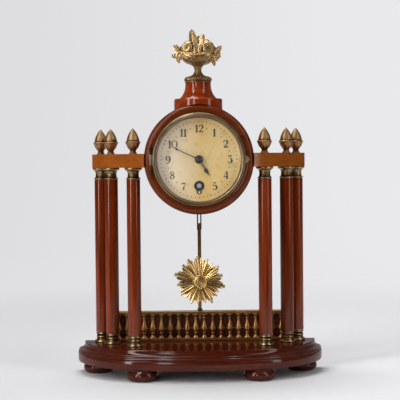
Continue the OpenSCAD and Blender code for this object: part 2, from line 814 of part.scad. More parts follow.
module back_cover() {
    color("#a5814a") difference() {
        at(0, axis_z) disc_y(drum_r - cover_lap, drum_back_y, drum_back_y + cover_t);
        cover_screw_places() wood_screw(snug);
    }
}

// Flat dial with holes for the hands and the key, on three feet
module dial() {
    color("#d9c48c") difference() {
        at(0, axis_z) union() {
            disc_y(dial_r, dial_y, dial_back_y);
            for (a = [60, 180, 300]) {
                at((plate_r - 3) * cos(a), (plate_r - 3) * sin(a)) {
                    disc_y(1.5, dial_back_y - 0.1, front_plate_y);
                    disc_y(0.9, front_plate_y - 0.1, gap_y + 1);
                }
            }
        }
        at(0, axis_z) disc_y(dial_hole_r, dial_y - past, dial_back_y + past);
        at(0, winding_z) disc_y(grommet_bore_r + 0.5, dial_y - past, dial_back_y + past);
        dial_screw_places() wood_screw(snug);
    }
}

module dial_grommet() {
    color("#17120f") at(0, winding_z) difference() {
        union() {
            disc_y(grommet_r, dial_y - grommet_t, dial_y);
            disc_y(grommet_bore_r + 0.5 - snug, dial_y - 0.1, dial_back_y);
        }
        disc_y(grommet_bore_r, dial_y - past, dial_back_y + past);
    }
}

// Polished slope between the dial and the glass
module sight_ring() {
    r = ring_bore_r - snug;
    color("#b89a5a") at(0, axis_z) turned_y([[r, dial_y], [r, face_y + 0.4], [r - 0.5, face_y + 0.4],
        [r - 1.6, dial_y]]);
}

// Fixed leaf, let into the ring under the bezel's edge
module leaf_recess(extra) {
    translate([hinge_x - leaf_w + 0.4 - extra, face_y - extra, axis_z - hinge_len / 2 - extra])
    cube([leaf_w + leaf_in + 2 * extra, leaf_t + 2 * extra, hinge_len + 2 * extra]);
}

module hinge_leaf() {
    color("#a5844c") difference() {
        union() {
            leaf_recess(0);
            for (s = [-1, 1]) {
                z = s > 0 ? knuckle_mid / 2 : -hinge_len / 2;
                translate([hinge_x, hinge_y, axis_z + z]) {
                    cylinder(r = knuckle_r, h = hinge_len / 2 - knuckle_mid / 2);
                    translate([-knuckle_r * 0.8, 0, 0])
                    cube([knuckle_r * 1.6, face_y - hinge_y + 0.1, hinge_len / 2 - knuckle_mid / 2]);
                }
            }
        }
        translate([hinge_x, hinge_y, axis_z - hinge_len]) cylinder(r = hinge_pin_r + running, h = 2 * hinge_len);
    }
}

module hinge_pin() {
    color("#9a7a44") translate([hinge_x, hinge_y, axis_z - hinge_len / 2 - 0.4])
    cylinder(r = hinge_pin_r, h = hinge_len + 0.8);
}

// Hinged frame of the glass: rounded outside, a lip in front of the glass,
// one knuckle on the left and a thumb lug on the right
module bezel() {
    b = bezel_front_y;
    back = face_y;
    pin_h = knuckle_mid - 2 * knuckle_gap;
    color("#b4945a") difference() {
        union() {
            at(0, axis_z) turned_y(concat([[glass_r + snug, back], [glass_r + snug, glass_y],
                [sight_r, glass_y], [sight_r, b + 0.3], [sight_r + 0.3, b]],
                arc([bezel_r - 1.9, b + 1.9], 1.9, 270, 360, 8), [[bezel_r, back - 0.6], [bezel_r - 0.4, back]]));
            translate([hinge_x, hinge_y, axis_z - pin_h / 2]) {
                cylinder(r = knuckle_r, h = pin_h);
                translate([0, -knuckle_r * 0.7, 0]) cube([2.4, knuckle_r * 1.4, pin_h]);
            }
            at(0, axis_z) slab_y(back - lug_t, back) polygon([[bezel_r - 1.2, -lug_h],
                [bezel_r + lug_out - 0.4, -0.3], [bezel_r + lug_out - 0.4, 0.3], [bezel_r - 1.2, lug_h]]);
        }
        translate([hinge_x, hinge_y, axis_z - hinge_len]) cylinder(r = hinge_pin_r + running, h = 2 * hinge_len);
    }
}

// Glass with a flat edge under the lip and a slight dome in the opening
module glass() {
    dome_rise = 0.7;
    dome_r = sight_r - 0.2;
    steps = 8;
    front = [for (t = [0:steps]) [dome_r * t / steps, glass_y - dome_rise * (1 - pow(t / steps, 2))]];
    color([0.85, 0.92, 0.95, 0.35]) at(0, axis_z) turned_y(concat(front,
        [[glass_r, glass_y], [glass_r, glass_y + glass_t]],
        [for (i = [0:steps]) front[steps - i] + [0, glass_t]]));
}

// Sprung ring that holds the glass against the lip
module glass_ring() {
    y0 = glass_y + glass_t;
    color("#a58a50") at(0, axis_z) tube_y(glass_r, sight_r + 0.2, y0, y0 + 0.8);
}

module front_plate() {
    color("#b8985c") difference() {
        union() {
            at(0, axis_z) disc_y(plate_r, front_plate_y, gap_y);
            at(motion_dist, axis_z) disc_y(0.9, hour_wheel_y - 1.6, front_plate_y + 0.1);
            at(click_x, click_z) disc_y(click_pivot_r, ratchet_y - 0.4, front_plate_y + 0.1);
        }
        at(0, axis_z) disc_y(arbor_r + running, front_plate_y - past, gap_y + past);
        at(0, winding_z) disc_y(barrel_arbor_r + running, front_plate_y - past, gap_y + past);
        for (p = [[third_x, third_z], [0, escape_z], [0, anchor_z]]) {
            at(p[0], p[1]) disc_y(fine_arbor_r + running, front_plate_y - past, gap_y + past);
        }
        pillar_places() disc_y(pillar_screw_r + 0.1, front_plate_y - past, gap_y + past);
        for (a = [60, 180, 300]) {
            at((plate_r - 3) * cos(a), axis_z + (plate_r - 3) * sin(a))
            disc_y(0.9 + snug, front_plate_y - past, gap_y + past);
        }
    }
}

module back_plate() {
    color("#b8985c") difference() {
        at(0, axis_z) disc_y(plate_r, back_plate_y, back_plate_back);
        at(0, axis_z) disc_y(arbor_r + running, back_plate_y - past, back_plate_back + past);
        at(0, winding_z) disc_y(barrel_arbor_r + running, back_plate_y - past, back_plate_back + past);
        for (p = [[third_x, third_z], [0, escape_z], [0, anchor_z]]) {
            at(p[0], p[1]) disc_y(fine_arbor_r + running, back_plate_y - past, back_plate_back + past);
        }
        pillar_places() disc_y(pillar_screw_r + 0.1, back_plate_y - past, back_plate_back + past);
        for (s = [-1, 1]) {
            at(s * cock_post_x, anchor_z + 3) disc_y(1.2 + snug, back_plate_y - past, back_plate_back + past);
        }
    }
}

module pillar_places() {
    for (a = [35, 145, 215, 325]) {
        at(pillar_at * cos(a), axis_z + pillar_at * sin(a)) children();
    }
}

module plate_pillars() {
    color("#c0a064") pillar_places() tube_y(pillar_r, pillar_screw_r + snug, gap_y, back_plate_y);
}

module movement_screws() {
    reach = 4;
    color("#6f7378") pillar_places() {
        disc_y(pillar_screw_r + 0.9, front_plate_y - 1, front_plate_y);
        disc_y(pillar_screw_r, front_plate_y - 0.1, gap_y + reach);
        disc_y(pillar_screw_r + 0.9, back_plate_back, back_plate_back + 1);
        disc_y(pillar_screw_r, back_plate_y - reach, back_plate_back + 0.1);
    }
}

// Drum of the mainspring with the great wheel's teeth at its back
module barrel() {
    back = barrel_y + barrel_len;
    color("#c2a05e") at(0, winding_z) difference() {
        union() {
            disc_y(barrel_r, barrel_y, back + 0.1);
            rotate([0, -90, 0]) slab_y(back, back + great_t) polygon(wheel_outline(great_teeth, great_m));
        }
        disc_y(barrel_r - barrel_wall, barrel_y + barrel_wall, back);
        disc_y(barrel_arbor_r + running, barrel_y - past, back + great_t + past);
    }
}

// A flat spiral of steel strip, from near the barrel's wall to near the core
module mainspring() {
    steps = 24 * spring_turns;
    r0 = barrel_core_r + 0.7;
    r1 = barrel_r - barrel_wall - 0.75;
    strip = 0.45;
    function spiral(s) = [for (i = [0:steps]) let(r = r0 + (r1 - r0) * i / steps + s)
        r * [cos(i * 15), sin(i * 15)]];
    color("#5b6066") at(0, winding_z)
    slab_y(barrel_y + barrel_wall + 0.3, barrel_y + barrel_len - 0.3)
    polygon(concat(spiral(0), [for (i = [0:steps]) spiral(strip)[steps - i]]));
}

// Arbor with the spring's core, journals in both plates and a key square
module winding_arbor() {
    color("#8e9297") at(0, winding_z) {
        disc_y(barrel_core_r, barrel_y + barrel_wall + 0.1, barrel_y + barrel_len - 0.1);
        disc_y(barrel_arbor_r, ratchet_y - 0.3, back_plate_back);
        slab_y(square_out, ratchet_y - 0.2) square(square_side, center = true);
    }
}

module ratchet_wheel() {
    color("#8a8378") at(0, winding_z) difference() {
        slab_y(ratchet_y, ratchet_y + ratchet_t)
        polygon([for (i = [0:ratchet_teeth - 1]) for (p = [[ratchet_r - 1, 0.04], [ratchet_r, 0]])
            let(a = (i + p[1]) * 360 / ratchet_teeth) p[0] * [cos(a), sin(a)]]);
        disc_y(barrel_arbor_r + snug, ratchet_y - past, ratchet_y + ratchet_t + past);
    }
}

// The pawl, with its nose at the tips of the ratchet's teeth
module click() {
    nose = ratchet_r + 0.35;
    color("#777d82") difference() {
        union() {
            at(click_x, click_z) disc_y(2.2, ratchet_y, ratchet_y + ratchet_t);
            slab_y(ratchet_y, ratchet_y + ratchet_t) polygon([[click_x - 1.4, click_z + 1.6],
                [nose * cos(62), winding_z + nose * sin(62) + 1.2], [nose * cos(58), winding_z + nose * sin(58)],
                [click_x - 2, click_z - 0.6]]);
        }
        at(click_x, click_z) disc_y(click_pivot_r + running, ratchet_y - past, ratchet_y + ratchet_t + past);
    }
}

// Arbor, pinion and wheel that turn once an hour
module centre_wheel() {
    color("#c4a262") at(0, axis_z) {
        disc_y(arbor_r, minute_hand_y - 1.4, back_plate_back);
        rotate([0, 90 + 180 / centre_leaves, 0]) slab_y(centre_pinion_y, centre_pinion_y + great_t + 0.8)
        polygon(pinion_outline(centre_leaves, great_m));
        rotate([0, -(180 - third_lean), 0]) slab_y(centre_y, centre_y + wheel_t)
        polygon(wheel_outline(wheel_teeth, centre_m));
    }
}

module cannon_pinion() {
    color("#b08f52") at(0, axis_z) difference() {
        union() {
            rotate([0, -180 / motion_leaves, 0]) slab_y(cannon_y - motion_wheel_t - 0.3, cannon_y)
            polygon(pinion_outline(motion_leaves, motion_m));
            disc_y(cannon_r, minute_hand_y + hand_t, cannon_y);
        }
        disc_y(arbor_r + snug, minute_hand_y - past, cannon_y + past);
    }
}

module third_wheel() {
    pinion_y = centre_y - 0.4;
    color("#c4a262") at(third_x, third_z) {
        disc_y(fine_arbor_r, front_plate_y, back_plate_back);
        rotate([0, third_lean + 180 / pinion_leaves, 0]) slab_y(pinion_y, pinion_y + wheel_t + 0.8)
        polygon(pinion_outline(pinion_leaves, centre_m));
        rotate([0, -atan2(escape_z - third_z, -third_x), 0]) slab_y(third_wheel_y, third_wheel_y + wheel_t - 0.2)
        polygon(wheel_outline(wheel_teeth, third_m));
    }
}

module escape_wheel() {
    pinion_y = third_wheel_y - 0.5;
    color("#c4a262") at(0, escape_z) {
        disc_y(fine_arbor_r, front_plate_y, back_plate_back);
        rotate([0, -(180 + atan2(escape_z - third_z, -third_x)) + 180 / pinion_leaves, 0])
        slab_y(pinion_y, pinion_y + wheel_t + 0.8) polygon(pinion_outline(pinion_leaves, third_m));
        slab_y(escape_wheel_y, escape_wheel_y + wheel_t - 0.2)
        polygon([for (i = [0:escape_teeth - 1]) for (p = [[escape_r - 1.9, 0], [escape_r, 0.1], [escape_r, 0.16],
            [escape_r - 1.9, 0.55]]) let(a = (i + p[1]) * 360 / escape_teeth) p[0] * [cos(a), sin(a)]]);
    }
}

// Anchor with its two pallets, its arbor and the crutch with a fork
module anchor() {
    rise = anchor_z - escape_z;
    span = acos(escape_r / rise);
    inner = escape_r + pallet_gap;
    y0 = escape_wheel_y - 0.2;
    fork_x = hanger_r + free;
    color("#9aa0a6") {
        at(0, anchor_z) {
            disc_y(fine_arbor_r, front_plate_y, crutch_y + crutch_t);
            disc_y(2.2, y0, y0 + pallet_t);
            disc_y(2, crutch_y, crutch_y + crutch_t);
        }
        at(0, escape_z) slab_y(y0, y0 + pallet_t) {
            intersection() {
                difference() {
                    circle(r = inner + 2);
                    circle(r = inner);
                }
                polygon([[0, 0], 40 * [-sin(span), cos(span)], [0, 60], 40 * [sin(span), cos(span)]]);
            }
            translate([-1.3, inner + 0.5]) square([2.6, rise - inner - 0.5]);
        }
        translate([-1.4, crutch_y, anchor_z - crutch_len]) cube([2.8, crutch_t, crutch_len]);
        translate([-fork_x - 1, crutch_y, anchor_z - crutch_len]) cube([2 * fork_x + 2, crutch_t, 2]);
        for (s = [-1, 1]) {
            translate([s * (fork_x + 0.5) - 0.5, crutch_y, anchor_z - crutch_len])
            cube([1, pendulum_y - crutch_y + 2, 2]);
        }
    }
}

module minute_wheel() {
    color("#c4a262") at(motion_dist, axis_z) difference() {
        union() {
            slab_y(cannon_y - 0.1 - motion_wheel_t, cannon_y - 0.1) rotate(180)
            polygon(wheel_outline(motion_teeth, motion_m));
            rotate([0, 180 / hour_leaves, 0]) slab_y(hour_wheel_y - motion_wheel_t - 0.3, cannon_y - 0.5)
            rotate(180) polygon(pinion_outline(hour_leaves, hour_m));
        }
        disc_y(0.9 + running, hour_wheel_y - 5, cannon_y + past);
    }
}

module hour_wheel() {
    color("#c4a262") at(0, axis_z) difference() {
        union() {
            slab_y(hour_wheel_y - motion_wheel_t, hour_wheel_y) polygon(wheel_outline(hour_teeth, hour_m));
            disc_y(hour_pipe_r, hour_hand_y, hour_wheel_y + 0.2);
        }
        disc_y(cannon_r + running, hour_hand_y - past, hour_wheel_y + past);
    }
}

// Fine tapered stem with a small lozenge near its tip
module minute_hand() {
    l = minute_hand_len;
    y = minute_hand_y;
    color("#1d1915") at(0, axis_z) rotate([0, minute_angle, 0]) difference() {
        union() {
            disc_y(2.4, y, y + hand_t);
            slab_y(y, y + hand_t) polygon([[-0.45, 0], [-0.32, 0.8 * l], [-0.95, 0.86 * l], [-0.25, 0.92 * l],
                [0, l], [0.25, 0.92 * l], [0.95, 0.86 * l], [0.32, 0.8 * l], [0.45, 0]]);
        }
        disc_y(arbor_r + snug, y - past, y + hand_t + past);
    }
}

// Fine stem, a leaf and a long point
module hour_hand() {
    l = hour_hand_len;
    y = hour_hand_y;
    color("#1d1915") at(0, axis_z) rotate([0, hour_angle, 0]) difference() {
        union() {
            disc_y(hour_pipe_r + 0.9, y, y + hand_t);
            slab_y(y, y + hand_t) polygon([[-0.5, 0], [-0.4, 0.5 * l], [-1.3, 0.6 * l], [-1.55, 0.68 * l],
                [-0.9, 0.78 * l], [-0.35, 0.88 * l], [0, l], [0.35, 0.88 * l], [0.9, 0.78 * l],
                [1.55, 0.68 * l], [1.3, 0.6 * l], [0.4, 0.5 * l], [0.5, 0]]);
        }
        disc_y(hour_pipe_r + snug, y - past, y + hand_t + past);
    }
}

// Black domed nut that holds the minute hand
module hand_nut() {
    y = minute_hand_y;
    color("#141110") at(0, axis_z) difference() {
        turned_y(concat([[0, y], [boss_r, y], [boss_r, y - 0.5]],
            [for (t = [1:8]) [boss_r * cos(11.25 * t), y - 0.5 - (boss_h - 0.5) * sin(11.25 * t)]]));
        disc_y(arbor_r + snug, minute_hand_y - 1.5, minute_hand_y + past);
    }
}

// Bridge on the back plate with the pin that the pendulum hangs on
module suspension_cock() {
    color("#b8985c") {
        for (s = [-1, 1]) {
            at(s * cock_post_x, anchor_z + 3) {
                disc_y(2, back_plate_back, cock_y);
                disc_y(1.2, back_plate_y, back_plate_back + 0.1);
            }
        }
        translate([-cock_post_x - 2.4, cock_y, anchor_z - 2]) cube([2 * cock_post_x + 4.8, cock_t, 7.4]);
        at(0, anchor_z) {
            disc_y(suspension_pin_r, cock_y, pendulum_y + chop_t / 2 + 0.6);
            disc_y(suspension_pin_r + 0.8, pendulum_y + chop_t / 2 + 0.3, pendulum_y + chop_t / 2 + 1.1);
        }
    }
}

// Top chop, spring strip, lower chop and the hanger wire with its hook ring
module suspension_spring() {
    strip_top = anchor_z - chop_r + 0.3;
    strip_low = strip_top - spring_strip_h;
    hook_z = eye_top - eye_bar / 2 + 0.6;
    color("#a9905c") {
        at(0, anchor_z) tube_y(chop_r, suspension_pin_r + running, pendulum_y - chop_t / 2, pendulum_y + chop_t / 2);
        translate([-spring_strip_t / 2, pendulum_y - 1.4, strip_low]) cube([spring_strip_t, 2.8, spring_strip_h]);
        translate([-0.8, pendulum_y - 1.6, strip_low - 3]) cube([1.6, 3.2, 3.2]);
        translate([0, pendulum_y, hook_z + hook_r]) cylinder(r = hanger_r, h = strip_low - 2.8 - hook_z - hook_r);
        translate([0, pendulum_y, hook_z]) rotate([0, 90, 0])
        rotate_extrude() translate([hook_r, 0]) circle(r = hook_wire_r, $fn = 32);
    }
}

// Flat rod with a long eye at its top and a thread at its foot
module pendulum_rod() {
    y0 = pendulum_y - rod_t / 2;
    thread_top = bob_z - bob_r + thread_in_bob;
    slot_w = 1.8;
    color("#6e4a2c") {
        slab_y(y0, y0 + rod_t) difference() {
            union() {
                translate([-eye_w / 2, eye_top - eye_h + 1]) square([eye_w, eye_h - 2.6]);
                translate([0, eye_top - eye_w / 2]) circle(r = eye_w / 2);
                translate([-rod_w / 2, thread_top]) square([rod_w, eye_top - eye_h + 2 - thread_top]);
            }
            translate([-slot_w / 2, eye_top - eye_h + 7]) square([slot_w, eye_h - 7 - eye_bar - slot_w / 2]);
            translate([0, eye_top - eye_bar - slot_w / 2]) circle(r = slot_w / 2);
        }
        translate([0, pendulum_y, rod_bottom]) cylinder(r = thread_r, h = thread_top - rod_bottom + 0.2);
    }
}

// Stamped sunburst on a slider that runs on the rod and sits on the nut
module pendulum_bob() {
    valley = bob_r * 0.72;
    slider_y1 = pendulum_y + rod_t / 2 + free + 0.8;
    slider_w = rod_w + 2 * free + 1.6;
    tongue_y = pendulum_y + thread_r + free;
    color("#b8913f") {
        at(0, bob_z) {
            slab_y(bob_y, bob_y + bob_t) polygon([for (i = [0:rays - 1]) for (p = [[valley, 0], [bob_r, 0.24],
                [bob_r, 0.42], [bob_r * 0.93, 0.6], [valley, 0.82]])
                let(a = 90 + (i + p[1] - 0.33) * 360 / rays) p[0] * [cos(a), sin(a)]]);
            turned_y([[0, bob_y + 0.1], [bob_boss_r, bob_y + 0.1], [bob_boss_r, bob_y - 0.4],
                [bob_boss_r - 1, bob_y - 0.8], [bob_boss_r - 2, bob_y - 0.5], [3.2, bob_y - 0.7], [1.4, bob_y - 1.2],
                [0, bob_y - 1.2]]);
        }
        for (z = [bob_z - 12, bob_z + 8]) {
            difference() {
                translate([-slider_w / 2, bob_y + bob_t - 0.1, z]) cube([slider_w, slider_y1 - bob_y - bob_t + 0.1, 4]);
                translate([-rod_w / 2 - free, pendulum_y - rod_t / 2 - free, z - past])
                cube([rod_w + 2 * free, rod_t + 2 * free, 4 + 2 * past]);
            }
        }
        translate([-1.5, slider_y1 - 0.2, bob_z - 12]) cube([3, tongue_y - slider_y1 + 0.8, 4]);
        translate([-1.5, tongue_y, bob_z - bob_r]) cube([3, 0.6, bob_r - 8]);
        translate([-1.5, tongue_y - 0.2, bob_z - bob_r]) cube([3, 0.8, 1]);
    }
}

module rating_nut() {
    color("#171412") translate([0, pendulum_y, rating_nut_z]) difference() {
        cylinder(r = rating_nut_r, h = rating_nut_t);
        translate([0, 0, -past]) cylinder(r = thread_r + running, h = rating_nut_t + 2 * past);
    }
}

base_slab();
base_moulding();
bun_foot(0);  // front_left_foot
bun_foot(1);  // front_right_foot
bun_foot(2);  // rear_left_foot
bun_foot(3);  // rear_right_foot
foot_screws();
column(-1, 0);  // left_inner_column
column(-1, 1);  // left_middle_column
column(-1, 2);  // left_outer_column
column(1, 0);  // right_inner_column
column(1, 1);  // right_middle_column
column(1, 2);  // right_outer_column
column_bases();
column_capitals();
acorn_finials();
tie_rods();
beam(-1);  // left_beam
beam(1);  // right_beam
case_screws();
gallery_board();
gallery_balusters();
drum_case();
front_ring();
pedestal();
finial_urn();
flower_basket();
back_cover();
dial();
dial_grommet();
sight_ring();
bezel();
glass();
glass_ring();
hinge_leaf();
hinge_pin();
front_plate();
back_plate();
plate_pillars();
movement_screws();
barrel();
mainspring();
winding_arbor();
ratchet_wheel();
click();
centre_wheel();
cannon_pinion();
third_wheel();
escape_wheel();
anchor();
minute_wheel();
hour_wheel();
minute_hand();
hour_hand();
hand_nut();
suspension_cock();
suspension_spring();
pendulum_rod();
pendulum_bob();
rating_nut();
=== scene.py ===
"""Looks of a portico mantel clock, laid out as an add-on: woodwork, gilt and brass, dial, pendulum."""

import json
import math
from collections import namedtuple

import bmesh
import bpy
import numpy as np
from bpy.props import FloatProperty, FloatVectorProperty, IntProperty, PointerProperty
from mathutils import Matrix, Vector, noise


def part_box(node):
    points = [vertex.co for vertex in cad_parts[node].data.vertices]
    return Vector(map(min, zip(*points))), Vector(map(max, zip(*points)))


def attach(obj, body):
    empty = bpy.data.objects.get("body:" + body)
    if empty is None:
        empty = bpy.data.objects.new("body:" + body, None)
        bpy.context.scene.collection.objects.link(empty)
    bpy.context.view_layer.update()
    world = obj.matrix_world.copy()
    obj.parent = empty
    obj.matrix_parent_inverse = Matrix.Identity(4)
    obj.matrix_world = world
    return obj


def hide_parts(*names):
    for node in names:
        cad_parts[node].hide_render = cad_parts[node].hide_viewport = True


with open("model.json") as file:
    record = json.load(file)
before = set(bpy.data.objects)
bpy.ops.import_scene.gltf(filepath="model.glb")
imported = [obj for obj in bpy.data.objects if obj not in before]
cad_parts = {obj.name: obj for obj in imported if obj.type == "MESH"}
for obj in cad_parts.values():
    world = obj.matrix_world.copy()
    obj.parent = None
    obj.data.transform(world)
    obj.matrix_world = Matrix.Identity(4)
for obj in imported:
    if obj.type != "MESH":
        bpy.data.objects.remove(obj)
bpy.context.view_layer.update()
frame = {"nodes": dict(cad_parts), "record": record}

bl_info = {
    "name": "Portico Mantel Clock",
    "version": (1, 0, 0),
    "blender": (4, 5, 0),
    "location": "3D View > Sidebar > Clock",
    "description": "Builds the woodwork, gilt fittings, dial and pendulum of a portico mantel clock",
    "category": "Object",
}

MM = 0.001
TURN = 2 * math.pi
Corner = namedtuple("Corner", "x y z")


def linear(code):
    """An sRGB hex colour as linear red, green and blue."""
    parts = [int(code[i:i + 2], 16) / 255 for i in (1, 3, 5)]
    return tuple(c / 12.92 if c <= 0.04045 else ((c + 0.055) / 1.055) ** 2.4 for c in parts)


def rgba(colour):
    """A colour with its alpha, from an sRGB hex code or from linear parts."""
    parts = linear(colour) if isinstance(colour, str) else colour[:3]
    return (*parts, 1)


def scaled(colour, share):
    """Linear parts of a colour times a share: darker below 1, lighter above."""
    return tuple(c * share for c in colour[:3])


def span(node):
    """Low and high corner of a CAD node's box, in mm."""
    return [Corner(*(c / MM for c in corner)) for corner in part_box(node)]


def centre_of(node):
    """Middle of a CAD node's box, in mm."""
    low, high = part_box(node)
    return (low + high) / 2 / MM


# Where the pieces sit, in mm, from the frame
DIAL = centre_of("dial")
DIAL_FACE = span("dial")[0].y
BEZEL_FRONT = span("bezel")[0].y
RING_FRONT = span("front_ring")[0].y
URN = centre_of("finial_urn")
URN_FOOT, URN_RIM = (corner.z for corner in span("finial_urn"))
DECK = span("base_moulding")[1].z
BASE = span("base_slab")
BEAM_FOOT, BEAM_TOP = (corner.z for corner in span("left_beam"))
COLUMNS = [centre_of(f"{side}_{place}_column") for side in ("left", "right")
           for place in ("inner", "middle", "outer")]
GALLERY = span("gallery_balusters")
# Middle of the bob's star, a little behind the CAD star's front
BOB = Vector((0, span("pendulum_bob")[0].y + 1.2, span("pendulum_bob")[1].z - 24))


class Shape:
    """Points in mm and faces of one piece, gathered from closed skins."""

    def __init__(self):
        self.points = []
        self.faces = []

    def skin(self, rings, loop=False):
        """Joins rings of one length. A loop meets its own start; otherwise both ends are capped."""
        first = len(self.points)
        count = len(rings[0])
        for ring in rings:
            self.points.extend(tuple(p) for p in ring)
        spans = len(rings) if loop else len(rings) - 1
        for i in range(spans):
            a = first + i * count
            b = first + (i + 1) % len(rings) * count
            for j in range(count):
                k = (j + 1) % count
                self.faces.append((a + j, a + k, b + k, b + j))
        if not loop:
            for base, ring in ((first, rings[0]), (first + (len(rings) - 1) * count, rings[-1])):
                middle = len(self.points)
                self.points.append(tuple(sum(p[i] for p in ring) / count for i in range(3)))
                self.faces.extend((base + j, base + (j + 1) % count, middle) for j in range(count))

    def turn(self, outline, place, steps, along="Z", ripple=None, loop=False):
        """Turns a (radius, height) outline about an axis through place."""
        rings = []
        for radius, height in outline:
            ring = []
            for j in range(steps):
                a = j * TURN / steps
                r = ripple(a, radius, height) if ripple else radius
                if along == "Z":
                    ring.append((place[0] + r * math.cos(a), place[1] + r * math.sin(a), place[2] + height))
                else:
                    ring.append((place[0] + r * math.cos(a), place[1] + height, place[2] + r * math.sin(a)))
            rings.append(ring)
        self.skin(rings, loop)

    def box(self, low, high):
        """A block with small bevels along Z and at both ends."""
        b = 0.15
        rings = []
        for z, inset in ((low[2], b), (low[2] + b, 0), (high[2] - b, 0), (high[2], b)):
            x0, y0, x1, y1 = low[0] + inset, low[1] + inset, high[0] - inset, high[1] - inset
            rings.append([(x0 + b, y0, z), (x1 - b, y0, z), (x1, y0 + b, z), (x1, y1 - b, z),
                          (x1 - b, y1, z), (x0 + b, y1, z), (x0, y1 - b, z), (x0, y0 + b, z)])
        self.skin(rings)

    def ball(self, place, radii, ripple, steps):
        """A rounded lump with its own radii along X, Y and Z; ripple scales it by direction."""
        rings = []
        for i in range(1, steps // 2):
            polar = math.pi * i / (steps // 2)
            ring = []
            for j in range(steps):
                a = j * TURN / steps
                way = Vector((math.sin(polar) * math.cos(a), math.sin(polar) * math.sin(a), math.cos(polar)))
                k = ripple(way)
                ring.append(tuple(place[n] + radii[n] * way[n] * k for n in range(3)))
            rings.append(ring)
        self.skin(rings)

    def built(self, name, material, crease):
        """An object in the scene from the points and faces, sharp where it bends by over crease degrees."""
        mesh = bpy.data.meshes.new(name)
        mesh.from_pydata([tuple(c * MM for c in p) for p in self.points], [], self.faces)
        work = bmesh.new()
        work.from_mesh(mesh)
        bmesh.ops.recalc_face_normals(work, faces=work.faces)
        work.to_mesh(mesh)
        work.free()
        mesh.shade_smooth()
        mesh.set_sharp_from_angle(angle=math.radians(crease))
        mesh.materials.append(material)
        piece = bpy.data.objects.new(name, mesh)
        bpy.context.scene.collection.objects.link(piece)
        return piece

    def make(self, name, material, body, instead=(), crease=38, hollow=None):
        """The finished piece, on its body, in place of the CAD nodes named in instead."""
        piece = self.built(name, material, crease)
        if hollow:
            mark_hollows(piece.data, hollow)
        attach(piece, body)
        if instead:
            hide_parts(*instead)


def mark_hollows(mesh, depth):
    """Stores how deep in a hollow each point lies: 1 where the smoothed mesh is depth mm above it."""
    rounds = 14
    count = len(mesh.vertices)
    start = np.empty(count * 3)
    mesh.vertices.foreach_get("co", start)
    normal = np.empty(count * 3)
    mesh.vertices.foreach_get("normal", normal)
    start = start.reshape(-1, 3)
    normal = normal.reshape(-1, 3)
    ends = np.empty(len(mesh.edges) * 2, np.int32)
    mesh.edges.foreach_get("vertices", ends)
    a, b = ends.reshape(-1, 2).T
    degree = np.bincount(a, minlength=count) + np.bincount(b, minlength=count)
    degree = np.maximum(degree, 1)[:, None]
    place = start.copy()
    for _ in range(rounds):
        total = np.zeros_like(place)
        np.add.at(total, a, place[b])
        np.add.at(total, b, place[a])
        place = total / degree
    # Positive in hollows: the metal finishes darken these as patina with painted shade
    sunk = np.clip(((place - start) * normal).sum(1) / (depth * MM), -1, 1)
    mesh.attributes.new("hollow", "FLOAT", "POINT").data.foreach_set("value", sunk.astype(np.float32))


def curve_through(points, per=5):
    """Points of a smooth curve through the given ones (Catmull-Rom)."""
    found = []
    last = len(points) - 1
    for i in range(last):
        p = [np.array(points[max(0, min(last, i + k))], float) for k in (-1, 0, 1, 2)]
        for step in range(per):
            t = step / per
            found.append(0.5 * (2 * p[1] + (p[2] - p[0]) * t
                                + (2 * p[0] - 5 * p[1] + 4 * p[2] - p[3]) * t ** 2
                                + (3 * p[1] - p[0] - 3 * p[2] + p[3]) * t ** 3))
    found.append(np.array(points[-1], float))
    return found


def bulged(outline, steps=5):
    """An outline whose points may carry a bulge: the bow of the line up to them, as a share of its length."""
    done = [tuple(outline[0][:2])]
    for before, point in zip(outline, outline[1:]):
        x0, y0 = before[:2]
        x1, y1 = point[:2]
        bow = point[2] if len(point) > 2 else 0
        if bow:
            for i in range(1, steps):
                t = i / steps
                lift = bow * 4 * t * (1 - t)
                done.append((x0 + (x1 - x0) * t + (y1 - y0) * lift, y0 + (y1 - y0) * t - (x1 - x0) * lift))
        done.append((x1, y1))
    return done


def divided(outline, step, length):
    """An outline, but for its last point, with points added so that length(dx, dy) of a piece nears step."""
    done = []
    for (x0, y0), (x1, y1) in zip(outline, outline[1:]):
        pieces = max(1, int(length(x1 - x0, y1 - y0) / step))
        done.extend((x0 + (x1 - x0) * k / pieces, y0 + (y1 - y0) * k / pieces) for k in range(pieces))
    return done


